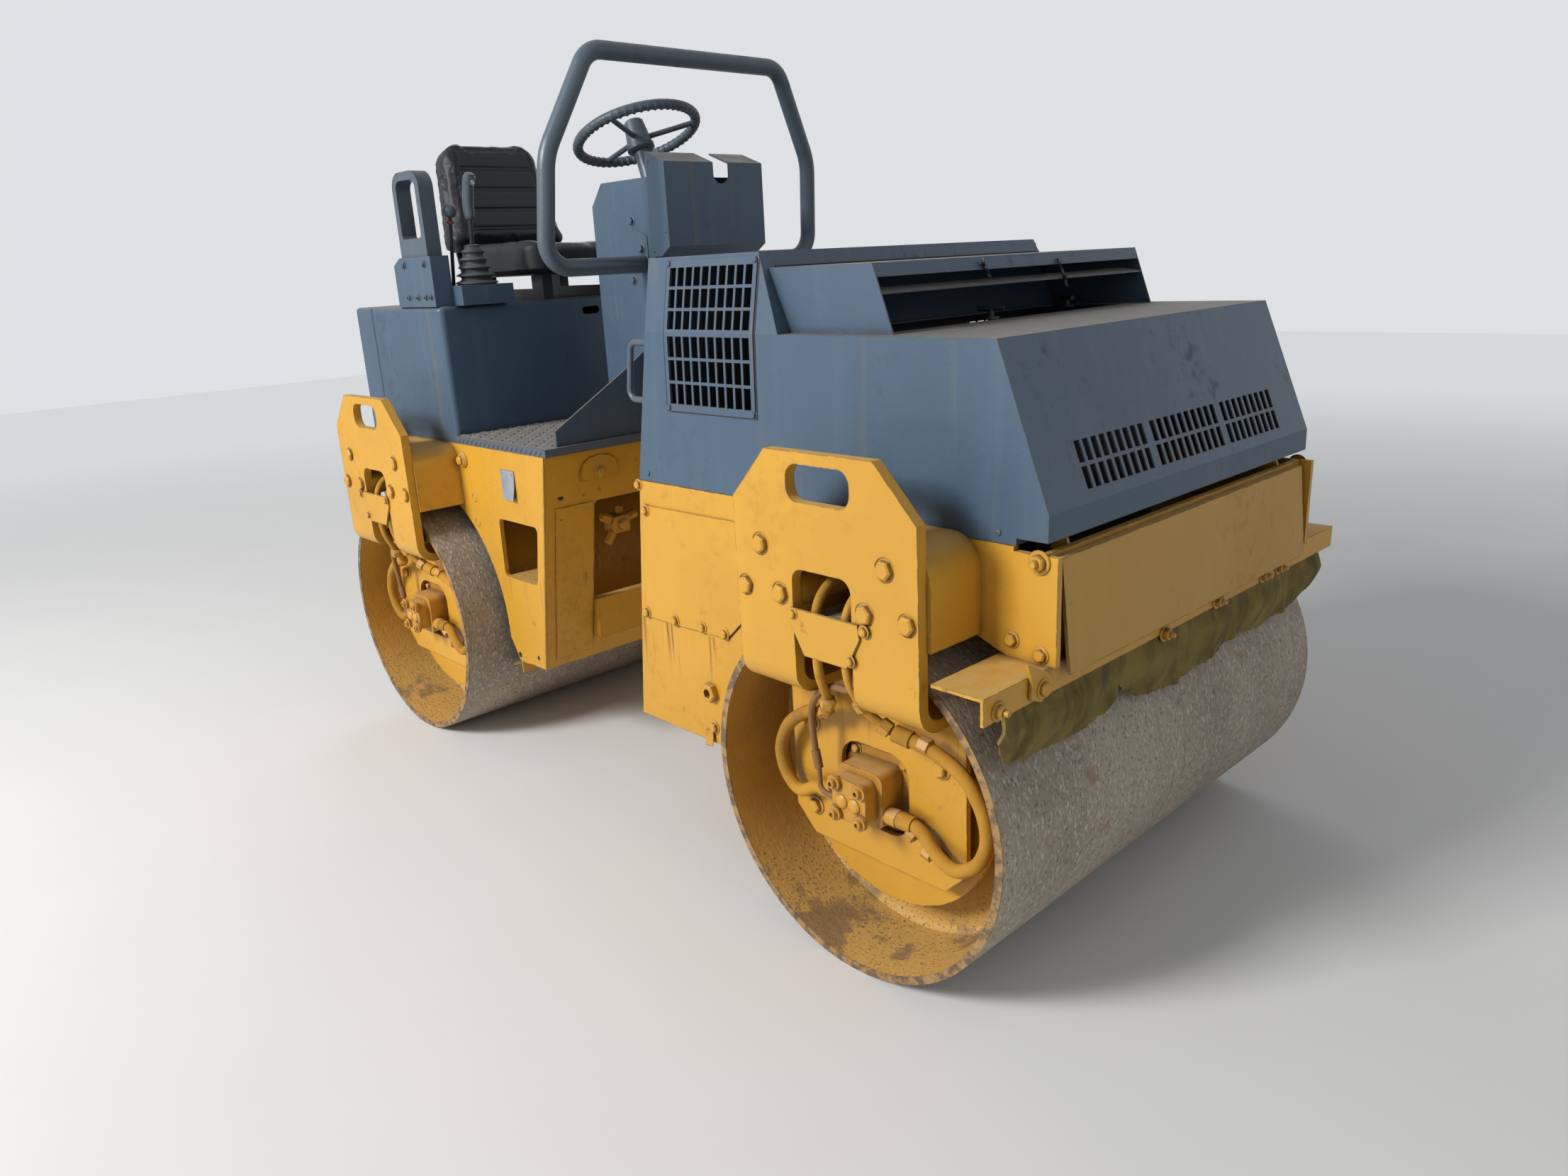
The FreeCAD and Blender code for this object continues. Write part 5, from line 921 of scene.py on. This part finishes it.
# %% Raised ovals
DECK_TOP, SKIRT_RIBS = 0.892, 19
CONSOLE_CLEAR, CONSOLE_REAR, KICK_PLATE = 0.16, -0.402, -0.234
column, row = np.meshgrid(np.arange(16), np.arange(33), indexing="ij")
places = np.stack([-0.662 + 0.0287 * column, -0.464 + 0.029 * row,
                   np.full(row.shape, DECK_TOP)], -1)
clear = (np.abs(places[..., 1]) > CONSOLE_CLEAR) | (places[..., 0] < CONSOLE_REAR)
clear &= places[..., 0] < KICK_PLATE
slant = np.where((column + row) % 2 == 0, np.pi / 4, -np.pi / 4)[clear]
dome, dome_faces = lathe([(0, 1), (0.62, 0.78), (1, 0)], 10)
shapes = [spread((dome * (0.012, 0.0048, 0.0024), dome_faces), places[clear],
                 turned_to([(0, 0, 1)] * len(slant), slant + np.pi / 2))]
for side in (-1, 1):
    ribs = [(-0.655 + 0.0235 * k, side * 0.4848, 0.882) for k in range(SKIRT_RIBS)]
    shapes.append(spread((dome * (0.0115, 0.004, 0.0036), dome_faces), ribs,
                         turned_to([(0, side, 0)] * SKIRT_RIBS, 0.9)))
piece("deck_tread", shapes, "rear_module", "deck_slate")

# %% [markdown]
# ## Small things on the hood
# Two spring latches stand on the low deck of the hood, bolts hold the corners of the grille panels,
# and the air slot keeps two torn strips of foam. Behind the grilles the real hood is dark with
# machinery; instead of modelling that, two plain baffles stop the view through.

# %% Latches, grille bolts, baffles and strips
shapes = []
latch = lathe([(0, 0.018), (0.006, 0.018), (0.007, 0.004), (0.016, 0.004), (0.018, 0)], 20)
for x, y, turn in ((0.824, -0.06, 0.4), (0.763, 0.308, -0.5)):
    shapes.append(spread(latch, [(x, y, 1.182)]))
    reach = 0.026 * np.array([math.cos(turn), math.sin(turn), 0])
    middle = np.array([x, y, 1.2015])
    shapes.append(tube(np.linspace(middle - reach, middle + reach, 8), 0.0048, 12,
                       guide=(0, 0, 1)))
piece("hood_latches", shapes, "hood", "lever_black")
rows = [("hex", (x, side * hood_side(z), z), (0, side, 0.1), 0.0068, 0.006)
        for side in (-1, 1) for x in (0.307, 0.572) for z in (1.318, 1.028)]
rows += [("pan", (x, side * hood_side(0.872), 0.878), (0, side, 0), 0.0055, 0.003)
         for side in (-1, 1) for x in (0.215, 0.64, 1.15)]
fasten("hood_bolts", rows, "hood", "panel_slate")
CROSS_BAFFLE = [(-0.462, 0.905), (-0.458, 1.178), (-0.436, 1.305), (0.436, 1.305),
                (0.458, 1.178), (0.462, 0.905), (0.235, 0.905), (0.235, 1.158),
                (-0.235, 1.158), (-0.235, 0.905)]
LONG_BAFFLE = [(0.325, 0.905), (0.325, 1.3), (0.598, 1.3), (0.598, 1.175), (0.54, 1.175),
               (0.49, 0.905)]
piece("air_baffle", cut_plate(CROSS_BAFFLE, 0.6, 0.603, 0)
      + cut_plate(LONG_BAFFLE, -0.0015, 0.0015, 1), "hood", "engine_iron")
shapes, k = [], np.arange(14)
for start, end in (((0.8605, -0.14, 1.298), (0.869, -0.124, 1.262)),
                   ((0.8605, 0.118, 1.29), (0.88, 0.126, 1.232))):
    ripple = np.stack([0.002 * np.sin(k), 0.002 * np.cos(k * 1.3), np.zeros(14)], -1)
    shapes.append(tube(np.linspace(start, end, 14) + ripple, 0.0042, 8, flat=0.4))
piece("foam_strips", shapes, "hood", "lever_black")

# %% [markdown]
# ## Console and cover
# The console is folded sheet: a second sheet overlaps it near the cover with a slanted edge, three
# bolts show at its side, and a small red and white filler cap stands on top. The overlap could be
# part of the solid, but at two millimetres it is only a plate laid on, like the bolts beside it.

# %% Console plates, bolts and cap
CONSOLE_HALF, COVER_HALF, OVERLAP_THICK = 0.15, 0.16, 0.002
OVERLAP = [(-0.229, 1.414), (-0.164, 1.3905), (-0.1635, 1.332), (-0.185, 1.305),
           (-0.229, 1.298)]
plates = [part for side in (-1, 1) for part in cut_plate(
    rounded(OVERLAP, 0.004, 3), side * CONSOLE_HALF, side * (CONSOLE_HALF + OVERLAP_THICK), 1)]
piece("console_overlap", plates, "rear_module", "panel_slate", bevel=0.0006)
rows = [("hex", (x, CONSOLE_HALF + lift, z), OUT, 0.0095, 0.008) for x, z, lift in (
    (-0.2246, 1.4287, 0), (-0.1882, 1.3605, OVERLAP_THICK), (-0.2354, 1.2836, 0))]
rows += [("pan", (x, COVER_HALF, z), OUT, 0.0035, 0.002)
         for x, z in ((-0.125, 1.35), (-0.125, 1.56), (-0.075, 1.395))]
fasten("console_bolts", both(rows), "rear_module", "panel_slate")
cap = lathe([(0, 0.02), (0.014, 0.02), (0.019, 0.018), (0.019, 0.013), (0.015, 0.012)], 28)
neck = lathe([(0.0145, 0.0135), (0.0145, 0.004), (0.02, 0.003), (0.021, 0)], 28)
CAP_PLACE = [(-0.16, -0.118, 1.527)]
piece("filler_cap", [spread(cap, CAP_PLACE)], "rear_module", "faded_red")
piece("filler_neck", [spread(neck, CAP_PLACE)], "rear_module", "chalk_white")

# %% [markdown]
# ## Grip of the steering wheel
# The rim has finger grips along its underside. A bump map would leave its outline round, so the
# ring's thickness itself is varied: the small radius gets a cosine wave, strongest on the inner and
# lower side and gone on the smooth upper side.

# %% Finger grips and hub
WHEEL_CENTRE, WHEEL_AXIS, WHEEL_RADIUS = np.array([-0.372, 0, 1.655]), (-0.342, 0, 0.9397), 0.163
GRIPS, AROUND, ABOUT = 54, 486, 16
axes = turned_to([WHEEL_AXIS])[0].T
around = np.arange(AROUND)[:, None] * 2 * np.pi / AROUND
about = np.arange(ABOUT)[None] * 2 * np.pi / ABOUT
low_side = np.clip(0.5 - 0.5 * np.cos(about - 0.25 * np.pi), 0, 1)
small = 0.0124 + 0.0024 * low_side * np.cos(around * GRIPS)
outward = np.cos(around)[..., None] * axes[0] + np.sin(around)[..., None] * axes[1]
rim = WHEEL_CENTRE + outward * (WHEEL_RADIUS + small * np.cos(about))[..., None]
rim = rim + (small * np.sin(about))[..., None] * axes[2]
rim_faces = grid_faces(AROUND + 1, ABOUT, True) % (AROUND * ABOUT)
piece("wheel_grip", [(rim.reshape(-1, 3), rim_faces)], "steering_wheel", "wheel_plastic",
      crease=60)
hub = lathe([(0, 0.036), (0.022, 0.036), (0.026, 0.032), (0.034, -0.028), (0.037, -0.031),
             (0.037, -0.042), (0.03, -0.047), (0, -0.047)], 40)
piece("wheel_hub", [spread(hub, [WHEEL_CENTRE], turned_to([WHEEL_AXIS]))], "steering_wheel",
      "wheel_plastic")

# %% [markdown]
# ## Levers
# The drive lever leaves a rubber boot with five flared folds, and carries a curved pistol grip with
# a lip and a round button. Beside it a ball knob stands on a thin rod with a red ring below it. The
# grip could be sculpted; a section carried up a curve, with a radius that changes, is enough.

# %% Boot, grip and ball knob
BOOT = np.array([-0.69, -0.352, 1.292])
KNOB, KNOB_FOOT = np.array([-0.71, -0.395, 1.486]), np.array([-0.752, -0.39, 1.292])
folds = [(0.06, 0.000)]
for k in range(5):
    wide, z = 0.059 - 0.0066 * k, 0.0205 * k
    folds += [(wide * 0.86, z + 0.002), (wide, z + 0.0035), (wide * 0.98, z + 0.0065),
              (wide * 0.7, z + 0.013), (wide * 0.66, z + 0.0185)]
folds += [(0.0225, 0.103), (0.012, 0.106), (0, 0.106)]
piece("lever_boot", [spread(lathe(folds, 40), [BOOT])], "rear_module", "boot_rubber",
      60)
grip = smooth([(0.008, 0, 0.171), (0.006, 0, 0.195), (0.009, 0, 0.225), (0.018, 0, 0.255),
               (0.029, 0, 0.276)], 30) + BOOT
swell = np.interp(np.linspace(0, 1, 30), [0, 0.04, 0.15, 0.5, 0.8, 0.96, 1],
                  [0.011, 0.0145, 0.016, 0.0172, 0.0165, 0.0175, 0.015])
lip = smooth([(0.022, 0, 0.268), (0.04, 0, 0.263), (0.054, 0, 0.254)], 10) + BOOT
button = lathe([(0, 0.01), (0.009, 0.01), (0.0125, 0.0085), (0.013, 0.004), (0.016, 0.002),
                (0.0165, -0.004)], 28)
shapes = [tube(grip, swell, 20, flat=0.86), tube(lip, np.linspace(0.0135, 0.005, 10), flat=0.55),
          spread(button, [BOOT + (0.03, 0, 0.277)], turned_to([(0.35, 0, 0.94)]))]
grip_piece = piece("drive_lever_grip", shapes, "rear_module", "wheel_plastic", 40)
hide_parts("control_levers")
stem = smooth([BOOT + (0, 0, 0.098), BOOT + (0.003, 0, 0.13), BOOT + (0.008, 0, 0.178)], 16)
rod = np.linspace(KNOB_FOOT, KNOB, 12)
piece("lever_rods", [tube(stem, 0.006, 12), tube(rod, 0.005, 12)], "rear_module",
      "lever_black")
turn = np.linspace(-np.pi / 2, np.pi / 2, 15)
ball = lathe(np.stack([0.0185 * np.cos(turn), 0.0185 * np.sin(turn)], -1), 32)
ring = lathe([(0.006, 0.004), (0.0105, 0.003), (0.0115, 0), (0.0105, -0.003),
              (0.006, -0.004)], 24)
lean = KNOB - KNOB_FOOT
piece("knob_ball", [spread(ball, [KNOB], turned_to([lean]))], "rear_module", "wheel_plastic",
      60)
piece("knob_ring", [spread(ring, [KNOB - lean * 0.145], turned_to([lean]))], "rear_module",
      "faded_red")
rows = [("hex", (x, -0.4862, 1.352), (0, -1, 0), 0.007, 0.006) for x in (-0.842, -0.722)]
rows += [("nut", (x, -0.485, 1.2655), (0, -1, 0), 0.0062, 0.009)
         for x in (-0.834, -0.781, -0.732, -0.702)]
fasten("lever_panel_bolts", rows, "rear_module", "panel_slate")

# %% [markdown]
# ## The padded seat
# Black vinyl over foam. Cloth gives the crown that foam has: the solid is copied, cut into even
# small faces, shrunk a little, and blown up with a slight pressure, with a cap on how far a point
# moves. The seams come last, because the even faces would swallow them: points near a seam line
# are drawn inwards along their normals, and points along the piping are pushed out.


# %% Swelling a solid into a pad
def points_of(mesh, what="co"):
    """All points or normals of a mesh as an array."""
    found = np.empty(len(mesh.vertices) * 3, np.float32)
    source = mesh.vertices if what == "co" else mesh.vertex_normals
    source.foreach_get(what, found)
    return found.reshape(-1, 3).astype(float)


def evaluated(made):
    """The object's mesh with its modifiers applied, as a new mesh."""
    bpy.context.view_layer.update()
    ready = made.evaluated_get(bpy.context.evaluated_depsgraph_get())
    return bpy.data.meshes.new_from_object(ready)


def swollen(name, node, shrink=0.006, cap=0.011, voxel=0.006):
    """Start = solid - shrink times normal; pad = start + move, where the cloth's move is at most
    cap long. One subdivision is then applied."""
    mesh = nodes[node].data.copy()
    work = bmesh.new()
    work.from_mesh(mesh)
    bmesh.ops.remove_doubles(work, verts=work.verts, dist=1e-5)
    bmesh.ops.recalc_face_normals(work, faces=work.faces)
    work.to_mesh(mesh)
    work.free()
    made = new_object(name, mesh)
    even = made.modifiers.new("even", "REMESH")
    even.mode, even.voxel_size = "VOXEL", voxel
    made.data = evaluated(made)
    made.modifiers.clear()
    start = points_of(made.data) - shrink * points_of(made.data, "vector")
    made.data.vertices.foreach_set("co", start.ravel())
    foam = made.modifiers.new("foam", "CLOTH")
    foam.settings.use_pressure = True
    foam.settings.uniform_pressure_force = 4.0
    foam.settings.effector_weights.gravity = 0.0
    for step in range(1, 21):
        bpy.context.scene.frame_set(step)
    moved = points_of(evaluated(made)) - start
    made.modifiers.clear()
    bpy.context.scene.frame_set(1)
    length = np.linalg.norm(moved, axis=1, keepdims=True)
    moved *= np.minimum(1.0, cap / np.maximum(length, 1e-9))
    made.data.vertices.foreach_set("co", (start + moved).ravel())
    print(name, "moved up to %.1f mm" % (1000 * length.max()))
    finer = made.modifiers.new("finer", "SUBSURF")
    finer.levels = finer.render_levels = 1
    made.data = evaluated(made)
    made.modifiers.clear()
    return made


def to_lines(points, lines):
    """Distance of each point from the nearest of some segments between two points."""
    distances = []
    for start, end in np.array(lines, float):
        run = end - start
        share = np.clip((points - start) @ run / (run @ run), 0, 1)
        distances.append(np.linalg.norm(points - start - share[:, None] * run, axis=1))
    return np.min(distances, axis=0)


SEAM_DEPTH, SEAM_WIDTH, PIPING_HEIGHT, PIPING_WIDTH = 0.004, 0.0035, 0.003, 0.0045


def stitched(made, flat, seams, front, piping=()):
    """On the front points, move = -depth exp(-(d / width)^2) for the nearest seam, plus the
    piping's height times the same bell for its nearest line, along the normal. Flat holds the
    points in the plane that the lines are drawn in."""
    places, normals = points_of(made.data), points_of(made.data, "vector")
    move = -SEAM_DEPTH * np.exp(-(to_lines(flat, seams) / SEAM_WIDTH)**2)
    if len(piping):
        move += PIPING_HEIGHT * np.exp(-(to_lines(flat, piping) / PIPING_WIDTH)**2)
    made.data.vertices.foreach_set("co", (places + (move * front)[:, None] * normals).ravel())
    made.data.shade_smooth()
    made.data.materials.clear()
    made.data.materials.append(finishes["seat_vinyl"])


# %% Seat cushion
SEAT_REAR, SEAT_FRONT = -1.04, -0.665
cushion = swollen("padded_cushion", "seat_cushion")
places = points_of(cushion.data)
flat = places[:, :2]
bolster = np.exp(-((np.abs(places[:, 1]) - 0.192) / 0.03)**2)
places[:, 2] += 0.009 * bolster * np.clip((places[:, 2] - 1.345) / 0.03, 0, 1)
hollow = np.exp(-(places[:, 1] / 0.11)**2 - ((places[:, 0] + 0.83) / 0.15)**2)
places[:, 2] -= 0.01 * hollow * (places[:, 2] > 1.36)
cushion.data.vertices.foreach_set("co", places.ravel())
seams = [((SEAT_REAR, s * (0.148 + row)), (SEAT_FRONT, s * (0.16 + row)))
         for row in (0, 0.008) for s in (-1, 1)]
seams += [((x, -0.15), (x, 0.15)) for x in (-0.958, -0.951, -0.858, -0.851, -0.758, -0.751)]
seams += [((SEAT_FRONT, -0.168), (SEAT_FRONT, 0.168))]
stitched(cushion, flat, seams, np.clip((places[:, 2] - 1.352) / 0.02, 0, 1))
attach(cushion, "rear_module")
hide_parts("seat_cushion")

# %% Seat back
LEAN, BACK_FOOT = math.radians(15), np.array([-1.066, 0, 1.396])
HALF, TOP, TAPER = 0.158, 0.305, 0.76
back = swollen("padded_back", "seat_back")
offset = points_of(back.data) - BACK_FOOT
forward = offset[:, 0] * math.cos(LEAN) + offset[:, 2] * math.sin(LEAN)
up = -offset[:, 0] * math.sin(LEAN) + offset[:, 2] * math.cos(LEAN)
flat = np.stack([offset[:, 1], up], -1)
seams = []
for inset in (0.0, 0.008):
    half, top = HALF + inset, TOP + inset
    seams += [((s * half, 0.01), (s * half * TAPER, top)) for s in (-1, 1)]
    seams += [((-half * TAPER, top), (half * TAPER, top))]
    seams += [((-level, z + inset), (level, z + inset)) for z in (0.242, 0.178, 0.114, 0.056)
              for level in (HALF * (1 - 0.24 * z / TOP),)]
piping = [((s * 0.207, 0.006), (s * 0.16, 0.325)) for s in (-1, 1)]
piping += [((-0.15, 0.334), (0.15, 0.334))]
stitched(back, flat, seams, np.clip((forward + 0.03) / 0.02, 0, 1), piping)
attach(back, "rear_module")
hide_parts("seat_back")

# %% [markdown]
# ## Floor, sizes and close
# A pale floor carries the shadow. Far out it would turn grey, so it fades to the backdrop's tone,
# for the camera's own rays only.

# %% Floor, sizes and finish
FLOOR_HALF = 14.0
corners = FLOOR_HALF * np.array([[-1, -1, 0], [1, -1, 0], [1, 1, 0], [-1, 1, 0]])
floor_mesh = bpy.data.meshes.new("floor")
floor_mesh.from_pydata(corners.tolist(), [], [[0, 1, 2, 3]])
floor = new_object("floor", floor_mesh)
ground = Finish("pale_floor")
away = ground.add("VectorMath", {0: ground.place}, operation="LENGTH").outputs["Value"]
fade = ground.times(ground.climb(away, 2.5, 9.0, 0.0, 0.85),
                    ground.add("LightPath").outputs["Is Camera Ray"])
glow = ground.add("Emission", {"Color": (0.74, 0.755, 0.77, 1), "Strength": 1.0}).outputs[0]
mixed = ground.add("MixShader", {0: fade, 1: ground.shader.outputs[0], 2: glow}).outputs[0]
ground.tree.links.new(mixed, ground.tree.nodes["Material Output"].inputs["Surface"])
floor_mesh.materials.append(ground.finish(
    ground.blend(ground.cloud(2.0), (0.7, 0.69, 0.67), (0.74, 0.73, 0.71)), 0.9, []))
